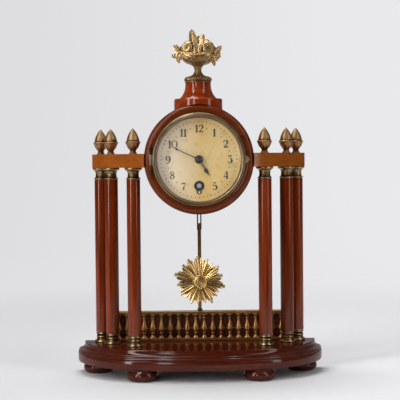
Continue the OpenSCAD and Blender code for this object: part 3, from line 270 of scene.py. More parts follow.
class Nodes:
    """The nodes of a material or a world, with a short call for each kind that repeats."""

    def __init__(self, owner, end="OutputMaterial"):
        owner.use_nodes = True
        self.tree = owner.node_tree
        self.tree.nodes.clear()
        self.end = end

    def add(self, kind, inputs=None, stops=(), **settings):
        """Adds a node with its settings, then sets or links its inputs; stops are a ramp's colours."""
        node = self.tree.nodes.new("ShaderNode" + kind)
        for name, value in settings.items():
            setattr(node, name, value)
        for _ in stops[2:]:
            node.color_ramp.elements.new(0.5)
        if stops:
            for element, (place, colour) in zip(node.color_ramp.elements, stops):
                element.position = place
                element.color = rgba(colour)
        for name, value in (inputs or {}).items():
            if isinstance(value, bpy.types.NodeSocket):
                self.tree.links.new(value, node.inputs[name])
            else:
                node.inputs[name].default_value = value
        return node

    def place(self, kind="Object"):
        return self.add("TexCoord").outputs[kind]

    def moved(self, **inputs):
        """Object places after a Mapping node."""
        return self.add("Mapping", {"Vector": self.place(), **inputs}).outputs["Vector"]

    def part(self, vector, axis):
        return self.add("SeparateXYZ", {"Vector": vector}).outputs[axis]

    def length(self, vector):
        return self.add("VectorMath", {0: vector}, operation="LENGTH").outputs["Value"]

    def noise(self, vector, scale, detail, **inputs):
        inputs = {"Vector": vector, "Scale": scale, "Detail": detail, **inputs}
        return self.add("TexNoise", inputs).outputs["Fac"]

    def maths(self, operation, first, second):
        return self.add("Math", {0: first, 1: second}, operation=operation).outputs["Value"]

    def spread(self, value, before=(0, 1), after=(0, 1), **settings):
        """A value moved from one range to another."""
        ends = {"From Min": before[0], "From Max": before[1], "To Min": after[0], "To Max": after[1]}
        return self.add("MapRange", {"Value": value, **ends}, **settings).outputs["Result"]

    def ramp(self, value, *stops):
        return self.add("ValToRGB", {"Fac": value}, stops).outputs["Color"]

    def mixed(self, share, first, second, **settings):
        """Two colours mixed."""
        node = self.add("Mix", {"Factor": share, "A": first, "B": second}, data_type="RGBA", **settings)
        return [output for output in node.outputs if output.type == "RGBA"][0]

    def bump(self, height, strength, deep):
        """Normals for relief that is deep mm at most."""
        inputs = {"Height": height, "Strength": strength, "Distance": deep * MM}
        return self.add("Bump", inputs).outputs["Normal"]

    def rays(self, first, second):
        """1 for rays of the two kinds named, 0 for the rest."""
        path = self.add("LightPath").outputs
        return self.maths("MAXIMUM", path[f"Is {first} Ray"], path[f"Is {second} Ray"])

    def blend(self, share, first, second):
        """A mix of two shader nodes."""
        return self.add("MixShader", {"Fac": share, 1: first.outputs[0], 2: second.outputs[0]})

    def surface(self, shader):
        self.add(self.end, {"Surface": shader.outputs[0]})

    def coated(self, **inputs):
        """Ends in a Principled shader; underscores in the names of its inputs stand for spaces."""
        inputs = {name.replace("_", " "): value for name, value in inputs.items()}
        self.surface(self.add("BsdfPrincipled", inputs))


def finish(name, builder, *values, **settings):
    """A finish by its name, made the first time that a piece asks for it."""
    material = bpy.data.materials.get(name)
    if not material:
        material = bpy.data.materials.new(name)
        builder(Nodes(material), *values, **settings)
    return material


def polished_wood(nodes, tone, grain, shine, figure_depth):
    """French-polished mahogany: shellac over stained wood gives a deep red body, ribbon figure, dark pores,
    and sharp reflections in the coat."""

    def along_grain(wide, tall):
        """Places for noise whose spots are wide mm across the grain and tall mm along it."""
        scale = [1 / (wide * MM)] * 3
        scale["XYZ".index(grain)] = 1 / (tall * MM)
        return nodes.moved(Scale=scale)

    # Ribbon figure: one band in about 6 mm across the grain and 120 mm along it
    figure = nodes.noise(along_grain(6, 120), 1, 5, Roughness=0.55, Distortion=0.6)
    body = nodes.ramp(figure, (0.28, scaled(tone, 1 - 0.45 * figure_depth)), (0.5, tone),
                      (0.74, scaled(tone, 1 + 0.5 * figure_depth)))
    # Pores: 0.3 mm wide ones drawn about 1 mm wide and 33 mm long, so that they show
    pores = nodes.noise(along_grain(1, 33), 1, 3, Roughness=0.6)
    shade = nodes.spread(pores, (0.35, 0.6), (0.7, 1.06))
    # Slow unevenness of the hand-laid shellac, over about 60 mm
    cloud = nodes.noise(nodes.moved(Scale=(18, 18, 18)), 1, 2)
    nodes.coated(Base_Color=nodes.mixed(1.0, body, shade, blend_type="MULTIPLY"),
                 Roughness=nodes.spread(cloud, (0.3, 0.7), (0.4, 0.55)), IOR=1.5, Specular_IOR_Level=0.0,
                 Coat_Weight=shine, Coat_Roughness=0.12, Coat_IOR=1.5,
                 Normal=nodes.bump(pores, 0.06, 0.2), Coat_Normal=nodes.bump(cloud, 0.15, 1.2))


def aged_metal(nodes, bright, body, stain_and_shade, roughness, patch=14, wear=1.0):
    """Cast or stamped brass alloy with age: clean where fingers and cloths reach, and in the hollows they
    miss, brown patina, darkened further as painted shade. The tarnish lies in patches of about patch mm, and
    the last argument is how much the hollows count: lighter where parts stand out, painted shade in hollows."""
    cloud = nodes.noise(nodes.place(), 1 / (patch * MM), 3, Roughness=0.5)
    hollow = nodes.add("Attribute", attribute_name="hollow").outputs["Fac"]
    # The hollow attribute darkens the colour in hollows, as patina with painted shade, and lightens what
    # stands out
    tarnish_wear_and_shade = nodes.maths("ADD", cloud, nodes.spread(hollow, (-1, 1), (-0.42 * wear, 0.42 * wear)))
    # Casting grain 0.4 mm across
    grain = nodes.noise(nodes.place(), 1 / (0.4 * MM), 2)
    nodes.coated(Base_Color=nodes.ramp(tarnish_wear_and_shade, (0.22, bright), (0.52, body), (0.86, stain_and_shade)), Metallic=1.0,
                 Roughness=nodes.spread(tarnish_wear_and_shade, (0.2, 0.95), (roughness, min(1.0, roughness + 0.3))),
                 Normal=nodes.bump(grain, 0.08, 0.06))


def turned_metal(nodes, bright, dull, roughness, pitch=0.5):
    """Machined metal: fine, slightly uneven tool rings about the dial's axis, at the given pitch in mm."""
    rings = nodes.add("TexWave", {"Vector": nodes.moved(Location=(0, 0, -DIAL.z * MM)), "Distortion": 0.4,
                                  "Scale": 1 / (pitch * MM) / TURN / 3},
                      wave_type="RINGS", rings_direction="Y").outputs["Fac"]
    cloud = nodes.noise(nodes.place(), 90, 4)
    nodes.coated(Base_Color=nodes.ramp(cloud, (0.35, bright), (0.7, dull)), Metallic=1.0,
                 Roughness=nodes.spread(rings, after=(roughness * 0.85, roughness * 1.2)),
                 Normal=nodes.bump(rings, 0.05, 0.05))


def brushed_steel(nodes):
    """Plain bright steel; scratches 0.2 mm wide and 4 mm long blur its reflections a little."""
    scratches = nodes.noise(nodes.moved(Scale=(5000, 5000, 250)), 1, 2)
    nodes.coated(Base_Color=nodes.ramp(scratches, (0.3, "#8d8f93"), (0.7, "#b4b6ba")), Metallic=1.0,
                 Roughness=nodes.spread(scratches, after=(0.25, 0.4)))


def dial_paint(nodes, colours):
    """Cream enamel paint on zinc, aged: even and matt, amber in the middle, with faint brown blots where
    moisture crept
    in. Painted light: paler at the rim and darker in the middle, against the bezel's shade, and greyer at the
    left, a painted glare of the glass."""
    about = nodes.moved(Location=(0, 0, -DIAL.z * MM))
    cloud = nodes.noise(about, 42, 4, Roughness=0.5)
    warm = nodes.ramp(cloud, (0.3, colours.dial_warm), (0.7, colours.dial_cream))
    # Painted reflection: the glass's glare, paler and greyer, over the left of the dial
    left = nodes.spread(nodes.part(about, "X"), (0.002, -0.036))
    toned = nodes.mixed(left, warm, rgba(colours.dial_grey))
    # Blots 5 to 9 mm across, only the strongest of them showing
    blots = nodes.spread(nodes.noise(about, 150, 3), (0.56, 0.8), (0, 0.45))
    stained = nodes.mixed(blots, toned, rgba("#a8823f"))
    # Painted light: darker in the middle and lighter at the rim, against the shade of the bezel
    rim = nodes.spread(nodes.length(about), (0.014, 0.036), (0.92, 1.1))
    fine = nodes.noise(about, 2500, 2)
    nodes.coated(Base_Color=nodes.mixed(1.0, stained, rim, blend_type="MULTIPLY"), Roughness=0.55, IOR=1.5,
                 Specular_IOR_Level=0.3, Normal=nodes.bump(fine, 0.1, 0.05))


def dial_ink(nodes):
    """Printed black, greyed towards the left of the dial by a painted glare of the glass."""
    place = nodes.place()
    # Painted reflection: the glass's glare greys the ink towards the left
    ink_glare = nodes.spread(nodes.part(place, "X"), (-0.008, -0.03), (0, 0.5))
    share = nodes.maths("MULTIPLY", ink_glare, nodes.noise(place, 400, 3))
    nodes.coated(Base_Color=nodes.mixed(share, rgba("#2a2118"), rgba("#c9b58f")), Roughness=0.5, IOR=1.5)


def dial_dot_ink(nodes):
    """Minute dots: thin brown-black ink that the cream shows through."""
    worn = nodes.noise(nodes.place(), 300, 2)
    nodes.coated(Base_Color=nodes.ramp(worn, (0.35, "#3a2b1a"), (0.7, "#7c6038")), Roughness=0.5, IOR=1.5)


def black_enamel(nodes):
    """Stoved black enamel on hands and nuts: near black with a soft sheen and faint dust."""
    dust = nodes.noise(nodes.place(), 700, 3)
    nodes.coated(Base_Color=nodes.ramp(dust, (0.4, "#180e08"), (0.75, "#2c1c12")),
                 Roughness=nodes.spread(dust, after=(0.14, 0.34)), IOR=1.5, Specular_IOR_Level=0.35)


def crystal(nodes):
    """Flat clock glass: clear, with a faint film of dust; its shadow is let through."""
    film = nodes.spread(nodes.noise(nodes.place(), 60, 3), after=(0.0, 0.03))
    glass = nodes.add("BsdfPrincipled", {"Base Color": (1, 1, 1, 1), "Roughness": film, "IOR": 1.45,
                                         "Transmission Weight": 1.0})
    clear = nodes.add("BsdfTransparent", {"Color": (0.96, 0.97, 0.96, 1)})
    nodes.surface(nodes.blend(nodes.rays("Shadow", "Diffuse"), glass, clear))


def backdrop_paper(nodes):
    """Matt pale paper, greyer at the left and lighter at the right as painted shade and light. Near the clock
    it takes the shadow; further off the camera sees it, also through glass, in a light tone, a little paler
    to the right, that lights nothing."""
    place = nodes.place()
    far = nodes.spread(nodes.length(place), (0.3, 0.9), interpolation_type="SMOOTHSTEP")
    side = nodes.spread(nodes.part(place, "X"), (-0.4, 0.4))
    # Painted shade and light: the paper is greyer to the left and lighter to the right
    paper = nodes.ramp(side, (0.3, "#d2d2d4"), (0.48, "#dededf"), (0.7, "#e3e3e5"))
    matt = nodes.add("BsdfDiffuse", {"Color": paper})
    glow = nodes.add("Emission", {"Color": nodes.ramp(side, (0, "#dedee0"), (1, "#e9e9eb")), "Strength": 1.0})
    share = nodes.maths("MULTIPLY", nodes.rays("Camera", "Transmission"), far)
    nodes.surface(nodes.blend(share, matt, glow))


def gilt_bronze(colours):
    """Fire-gilt cast bronze: rubbed gold on what stands out, umber patina with painted shade in what lies
    deep.
    """
    return finish("Gilt_bronze", aged_metal, colours.gilt, "#8e7049", "#3f2f1b", 0.44, patch=9, wear=1.15)


def paint(names, material):
    """Gives a material to the CAD nodes named."""
    for name in names:
        for place in frame["nodes"][name].material_slots:
            place.material = material


def dress(slot, material):
    """Gives a material to every CAD node whose record slot is the one named."""
    paint([part["node"] for part in frame["record"]["subparts"] if part["material_slot"] == slot], material)


def colour_setting(name, code, description):
    return FloatVectorProperty(name=name, description=description, subtype="COLOR", default=linear(code),
                               min=0, max=1)


def length_setting(name, usual, least, most, description):
    """A length, given in mm."""
    return FloatProperty(name=name, description=description, default=usual * MM, min=least * MM,
                         max=most * MM, unit="LENGTH", subtype="DISTANCE")


class ClockColours(bpy.types.PropertyGroup):
    """Colours of the finishes."""
    column_wood: colour_setting("Column wood", "#742a08", "Polished shafts, in their mid tone")
    base_wood: colour_setting("Base wood", "#521e0f", "Slab and moulding, in their mid tone")
    beam_wood: colour_setting("Beam wood", "#9c541c", "The paler beams, in their mid tone")
    case_wood: colour_setting("Drum wood", "#94370e", "Drum and pedestal, in their mid tone")
    ring_wood: colour_setting("Ring wood", "#6a2e10", "The drum's front ring, in its mid tone")
    board_wood: colour_setting("Gallery board", "#40180b", "The board behind the gallery, in its mid tone")
    dial_cream: colour_setting("Dial cream", "#efd294", "The dial's paint where it is cleanest")
    dial_warm: colour_setting("Dial amber", "#e6bb6c", "The dial's paint where it has yellowed")
    # Painted reflection: the glass's glare over the left of the dial
    dial_grey: colour_setting("Dial grey", "#fff0da", "The dial's paint where it has faded")
    gilt: colour_setting("Gilt", "#bc9c70", "Gilding where it is rubbed bright")
    brass: colour_setting("Brass", "#d0ad70", "Brass where it is rubbed bright")


class ClockSizes(bpy.types.PropertyGroup):
    """Sizes of the pieces that are built over the solids."""
    numeral_height: length_setting("Numeral height", 6.9, 4, 8, "Height of the hour figures")
    numeral_radius: length_setting("Numeral circle", 27.3, 24, 30, "Radius of the circle of hour figures")
    baluster_count: IntProperty(name="Balusters", description="Balusters along the gallery",
                                default=20, min=8, max=30)
    rose_radius: length_setting("Rose radius", 6, 4, 8, "Radius of the larger rose")


class CLOCK_OT_woodwork(bpy.types.Operator):
    """Polishes the columns, beams, drum and base, and turns the base's edges"""
    bl_idname = "clock.woodwork"
    bl_label = "Woodwork"

    def execute(self, context):
        colours = context.scene.clock_colours
        darker_base_wood = scaled(colours.base_wood, 0.8)
        # Slot, finish, mid tone, grain, shine of the coat and depth of the figure
        woods = (("mahogany_column", "Mahogany_columns", colours.column_wood, "Z", 0.75, 1.35),
                 ("mahogany_foot", "Mahogany_feet", darker_base_wood, "X", 0.6, 0.8),
                 ("mahogany_case", "Mahogany_drum", colours.case_wood, "X", 0.7, 0.7),
                 ("mahogany_beam", "Mahogany_beams", colours.beam_wood, "X", 0.5, 0.35),
                 ("mahogany_board", "Mahogany_board", colours.board_wood, "X", 0.1, 0.6),
                 ("mahogany_base", "Mahogany_base", colours.base_wood, "X", 0.6, 0.6))
        for slot, name, *look in woods:
            dress(slot, finish(name, polished_wood, *look))
        # The moulded board is given a darker tone, 0.8 of the base wood's
        board = finish("Mahogany_board_top", polished_wood, darker_base_wood, "X", 0.6, 0.6)
        self.base(bpy.data.materials["Mahogany_base"], board)
        self.ring(finish("Mahogany_ring", polished_wood, colours.ring_wood, "X", 0.4, 0.7))
        return {"FINISHED"}

    def ring(self, wood):
        """The drum's front ring: a flattish roll that falls a little to the bezel and further outwards."""
        low, high = span("front_ring")
        front = low.y + 0.05
        rim = (high.x - low.x) / 2
        bore = rim - 10
        # Distance out from the bore and depth behind the front
        roll = ((0, 1.2), (1.6, 1.0), (2.6, 0.75), (3.6, 0.35), (4.6, 0.08), (5.4, 0), (6.4, 0.12),
                (7.4, 0.5), (8.3, 1.1), (9.0, 1.9), (9.5, 2.8), (9.9, 3.8), (10, 4.8))
        outline = [(bore, high.y), *((bore + out, front + deep) for out, deep in roll), (rim, high.y)]
        shape = Shape()
        shape.turn(outline, (DIAL.x, 0, DIAL.z), 160, "Y", loop=True)
        shape.make("front_ring_wood", wood, "case", ("front_ring",), crease=50)

    def base(self, wood, board_wood):
        """Slab with eased edges, and the moulded board over it: ovolo, small step and cove."""
        low, high = BASE[0].z, BASE[1].z
        cove = 4.2
        slab = [(0.9, low), (0.25, low + 0.25), (0, low + 0.9), (-0.1, (low + high) / 2), (0, high - 0.7),
                (0.2, high - 0.2), (0.7, high)]
        ovolo = ((1, 0), (0.5, 0.3), (0.35, 0.9), (0.6, 1.6), (1.2, 2.1), (1.9, 2.3), (2, 2.4), (2, 2.9))
        board = [(inset, high + rise) for inset, rise in ovolo]
        board += [(2.0 + cove * math.sin(a), high + 2.9 + cove * (1 - math.cos(a)))
                  for a in np.linspace(0.15, 1.55, 10)]
        board += [(6.2, high + 8.0), (6.6, DECK)]
        for node, edge, material in (("base_slab", slab, wood), ("base_moulding", board, board_wood)):
            shape = Shape()
            shape.skin([[(x, y, z) for x, y in bowed_outline(inset)] for inset, z in edge])
            shape.make(node + "_wood", material, "case", (node,), crease=50)


def bowed_outline(inset):
    """Outline of the base in mm: a straight back, two round ends and a bowed front, set in by inset."""
    (x0, y0, _), (x1, y1, _) = BASE
    # The bowed front stands out beyond the round ends, and the back's edges are eased less than the rest
    bow = 5
    back_ease = 0.6
    depth = y1 - y0
    end_r = depth - bow
    end_x = (x1 - x0) / 2 - end_r
    bow_r = (end_x ** 2 + depth ** 2 - end_r ** 2) / (2 * (depth - end_r))
    bow_y = y0 + bow_r
    meet = math.atan2(end_x, bow_y - y1)
    steps = 40

    def on_end(side, a):
        """A point of the left (-1) or right (1) round end."""
        return (side * end_x + (end_r - inset) * math.cos(a), y1 - (end_r - inset) * math.sin(a))

    angles = [(math.pi / 2 - meet) * i / steps for i in range(steps + 1)]
    points = [on_end(-1, math.pi - a) for a in angles]
    for i in range(1, steps):
        a = -meet + 2 * meet * i / steps
        points.append(((bow_r - inset) * math.sin(a), bow_y - (bow_r - inset) * math.cos(a)))
    points += [on_end(1, a) for a in reversed(angles)]
    back_y = y1 - min(inset, back_ease)
    back = [(x, back_y) for x in np.linspace(points[-1][0], points[0][0], 24)[1:-1]]
    points[0] = (points[0][0], back_y)
    points[-1] = (points[-1][0], back_y)
    return points + back


class CLOCK_OT_fittings(bpy.types.Operator):
    """Turns the brass bases and capitals of the columns, and casts the acorns"""
    bl_idname = "clock.fittings"
    bl_label = "Column fittings"

    def execute(self, context):
        # Spun brass under old lacquer: greenish gold, with brown patina and painted shade in the fillets
        brass = finish("Column_brass", aged_metal, "#a68c66", "#6c543a", "#291b0f", 0.3, patch=7, wear=1.2)
        bore = 1.6
        tall = 10.8
        foot = bulged([(bore, 0), (7.3, 0), (7.5, 0.3), (7.5, 1.1, 0.1), (7, 1.5), (6.8, 2),
                       (5.3, 3.4, -0.18), (5, 4.1), (5.2, 4.3), (5.6, 5.8, 0.35), (5.1, 6.1), (5, 6.9),
                       (5.3, 7.2), (5.75, 8.8, 0.4), (5.3, 9.1), (5.4, 9.7), (bore, 9.7)])
        head = bulged([(bore, 0), (5.6, 0), (5.9, 0.3), (5.9, 1.7, 0.45), (5.4, 2), (5.1, 2.6), (4.95, 4.4),
                       (5.05, 6.4, -0.04), (5.4, 7.2), (6.3, 8.2, -0.2), (7.4, 9.1), (7.7, 9.4),
                       (7.7, 10.5, 0.06), (7.5, tall), (bore, tall)])
        for node, outline, z in (("column_bases", foot, DECK), ("column_capitals", head, BEAM_FOOT - tall)):
            shape = Shape()
            for column in COLUMNS:
                shape.turn(outline, (column.x, column.y, z), 48, loop=True)
            shape.make(node + "_brass", brass, "case", (node,), hollow=0.5)
        self.acorns()
        return {"FINISHED"}

    def acorns(self):
        """The finials: a scaly cup with a pointed nut in it."""
        # Cast and bronzed: browner and duller than the gilding
        bronze = finish("Acorn_bronze", aged_metal, "#a4825a", "#735437", "#2f2012", 0.46, patch=6, wear=1.2)
        cup_top = 11.3
        cup = bulged([(0, 0), (3.6, 0), (3.65, 0.5), (3.2, 1.1), (2.7, 2, -0.1), (2.6, 2.8),
                      (3.2, 3.8, -0.05), (4.4, 5.3), (5.6, 7.4, 0.06), (6.2, 9.3, 0.05), (6.6, 9.9, -0.1),
                      (6.8, 10.5, 0.2), (6.4, 11), (5.7, cup_top)], 4)
        nut = [(5.6 * (1 - (t / 16) ** 1.8) ** 0.9, cup_top + 11.5 * t / 16) for t in range(16)]
        nut.append((0.25, 22.75))

        def relief(a, radius, height):
            """Two rows of rounded scales on the cup, and faint flutes on the nut that fade at the tip."""
            if height >= cup_top:
                fade = max(0, 1 - (height - cup_top) / 11)
                return radius * (1 + 0.02 * fade * math.cos(9 * a))
            if not 3.2 < height < 9.4:
                return radius
            row = math.sin((height - 3.2) / 6.2 * math.pi)
            lobe = abs(math.cos(4 * a + (0.8 if height > 6.3 else 0)))
            return radius * (1 - 0.12 * row * (1 - lobe ** 0.7))

        outline = divided(cup, 0.45, math.hypot) + nut
        outline[0] = (0.2, 0)
        shape = Shape()
        for column in COLUMNS:
            shape.turn(outline, (column.x, column.y, BEAM_TOP), 56, ripple=relief)
        shape.make("acorns_cast", bronze, "case", ("acorn_finials",), hollow=0.45)


class CLOCK_OT_gallery(bpy.types.Operator):
    """Stamps the gallery: two rails, a row of balusters and a thin link across their middles"""
    bl_idname = "clock.gallery"
    bl_label = "Gallery"

    def execute(self, context):
        count = context.scene.clock_sizes.baluster_count
        low, high = GALLERY
        front, back = low.y, high.y
        shape = Shape()
        rail = 2.6
        for z in (low.z, high.z - rail):
            section = [(front + 0.45, z), (front, z + 0.5), (front, z + 1.0), (front + 0.4, z + 1.2),
                       (front + 0.4, z + 1.5), (front, z + 1.7), (front, z + 2.2), (front + 0.4, z + rail),
                       (back, z + rail), (back, z)]
            ends = (low.x, low.x + 0.05, high.x - 0.05, high.x)
            shape.skin([[(x, y, h) for y, h in section] for x in ends])
        # The end balusters stand in from the rails' ends, and all of them run a little into the rails
        end = 6.2
        start = low.x + end
        pitch = (high.x - low.x - 2 * end) / (count - 1)
        bottom = low.z + rail - 0.2
        tall = high.z - low.z - 2 * rail + 0.4
        # Half width in mm and share of the height
        outline = [(3.1, 0), (3.1, 0.03), (2.5, 0.05), (1.8, 0.1), (1.3, 0.14), (1.25, 0.17), (1.8, 0.19),
                   (1.9, 0.22), (1.5, 0.245), (2, 0.28), (2.7, 0.34), (2.95, 0.4), (2.75, 0.47), (2.1, 0.56),
                   (1.6, 0.66), (1.35, 0.74), (1.3, 0.78), (1.8, 0.8), (1.85, 0.83), (1.5, 0.85), (1.9, 0.88),
                   (2.5, 0.92), (3.4, 0.955), (3.95, 0.98), (3.95, 1)]
        half_turn = np.linspace(0, math.pi, 13)
        profile = divided(outline, 0.5, lambda wide, share: share * tall) + outline[-1:]
        for i in range(count):
            x = start + i * pitch
            rings = []
            for radius, share in profile:
                z = bottom + tall * share
                deep = min(radius, 2.6) * 0.75 + 0.5
                ring = [(x + radius * math.cos(a), back - deep * math.sin(a), z) for a in half_turn]
                rings.append(ring + [(x - radius, back + 0.15, z), (x + radius, back + 0.15, z)])
            shape.skin(rings)
        z = bottom + tall * 0.4
        shape.box((start, back - 0.7, z - 0.35), (high.x - end, back + 0.1, z + 0.35))
        # The stamping has lost its lacquer and browned
        browned = finish("Stamped_brass_browned", aged_metal, "#a07648", "#5c3d24", "#1c1008", 0.42, patch=10,
                         wear=1.5)
        shape.make("gallery_stamping", browned, "case", ("gallery_balusters",), hollow=0.55)
        return {"FINISHED"}


class CLOCK_OT_urn(bpy.types.Operator):
    """Casts the urn: a gadrooned foot, a waisted stem with a bead at its top, and a fluted bowl"""
    bl_idname = "clock.urn"
    bl_label = "Urn"

    def execute(self, context):
        outline = bulged([(0.3, 0), (11.2, 0), (11.8, 0.3), (11.9, 1.0, 0.3), (11.4, 1.3), (11.2, 1.6),
                          (11.8, 3.4, 0.35), (11.2, 4.6), (9.9, 5.3), (8, 5.8), (5.6, 6.8, -0.1),
                          (4.1, 8.2, -0.08), (3.1, 10.2, -0.05), (3.1, 11.4), (3.6, 13.2, -0.05),
                          (4.5, 14.8, -0.06), (5.8, 15.7), (6.2, 15.8), (6.3, 16.4, 0.3), (6, 16.7),
                          (9.2, 17.4, 0.08), (12.2, 19.2, 0.1), (13.7, 21.6, 0.08), (14, 23.6),
                          (14.4, 24.2, 0.3), (13.6, 24.8), (0.3, 24.8)])

        def flutes(a, radius, height):
            """Slanting gadroons on the foot's roll and upright flutes on the bowl."""
            if 1.6 < height < 5.0 and radius > 10:
                return radius * (1 + 0.03 * math.cos(26 * a + 0.6 * height))
            if 16.8 < height < 23.8 and radius > 7:
                share = math.sin((height - 16.8) / 7 * math.pi)
                return radius * (1 + 0.035 * share * math.cos(14 * a))
            return radius

        shape = Shape()
        shape.turn(outline, (URN.x, URN.y, URN_FOOT), 156, ripple=flutes)
        material = gilt_bronze(context.scene.clock_colours)
        shape.make("urn_cast", material, "case", ("finial_urn",), hollow=9)
        return {"FINISHED"}


def leaf_blade(shape, points, wide, facing):
    """A cast leaf along a curved spine: pointed, dished beside a raised vein, thicker at its root. At its
    fullest it is 1.26 times wide."""
    thick = 1.1
    vein = 0.4
    half_share = 1.26 / 2
    spine = curve_through(points)
    face = Vector(facing).normalized()
    rings = []
    last = len(spine) - 1
    for i, p in enumerate(spine):
        t = i / last
        way = Vector(spine[min(last, i + 1)] - spine[max(0, i - 1)]).normalized()
        side = way.cross(face).normalized()
        out = side.cross(way).normalized()
        fullness = 0.14 + 0.86 * math.sin(math.pi * max(0.001, t)) ** 0.7
        half = wide * half_share * fullness * (1 if t < 0.97 else 0.4)
        deep = thick * (1.15 - 0.6 * t)
        ring = []
        for s in (-1, -0.8, -0.45, -0.14, 0, 0.14, 0.45, 0.8, 1):
            rise = deep * (0.25 + 0.45 * (1 - s * s))
            if abs(s) < 0.1:
                rise += vein * (1 - t)
            elif abs(s) < 0.3:
                rise -= 0.28 * vein
            ring.append(Vector(p) + side * half * s + out * rise)
        for s in (0.8, 0.3, -0.3, -0.8):
            ring.append(Vector(p) + side * half * s - out * deep * 0.4 * (1.1 - s * s))
        rings.append(ring)
    shape.skin(rings)


def rose_bloom(shape, place, radius, facing, turn):
    """A cast rose: petals wound in a spiral round a small heart, each with a lip that stands proud."""
    axis = Vector(facing).normalized()
    aside = axis.cross(Vector((0, 0, 1))).normalized()
    up = aside.cross(axis).normalized()
    opening = math.radians(118)
    windings = 2.6
    flattened = 0.82
    steps = 72
    rings = []
    for i in range(1, 34):
        polar = math.radians(3.6 * i)
        share = polar / opening
        dish = -0.18 * math.exp(-(share / 0.12) ** 2)
        ring = []
        for j in range(steps):
            a = j * TURN / steps
            turns = share * windings - (a + turn) / TURN
            phase = turns - math.floor(turns)
            lip = ((phase ** 1.6) * 0.26 - 0.07) * (0.4 + 0.6 * math.sin(math.pi * min(1, share)))
            petals = 0.05 * math.cos(4 * a + 6 * share)
            k = radius * (0.88 + lip + petals * share + dish)
            out = (aside * math.cos(a) + up * math.sin(a)) * math.sin(polar)
            way = axis * math.cos(polar) * flattened + out
            ring.append(Vector(place) + way * k)
        rings.append(ring)
    shape.skin(rings)


# Roses on the urn's rim: place in mm, share of the larger rose's radius, facing and turn
ROSES = (
    ((-9.1, -6.2, 4.9), 0.93, (-0.15, -1, 0.22), 0.4),
    ((8.9, -6.0, 5.4), 1, (0.2, -1, 0.2), 2.4),
    ((-5, 7.4, 5.4), 0.95, (-0.2, 1, 0.3), 1.2),
    ((6.5, 7.2, 5.0), 0.9, (0.3, 1, 0.25), 3.0),
    ((-14.5, 0.5, 4.0), 0.62, (-1, -0.25, 0.3), 0.2),
    ((14.6, 0.5, 4.2), 0.62, (1, -0.2, 0.35), 1.1),
)

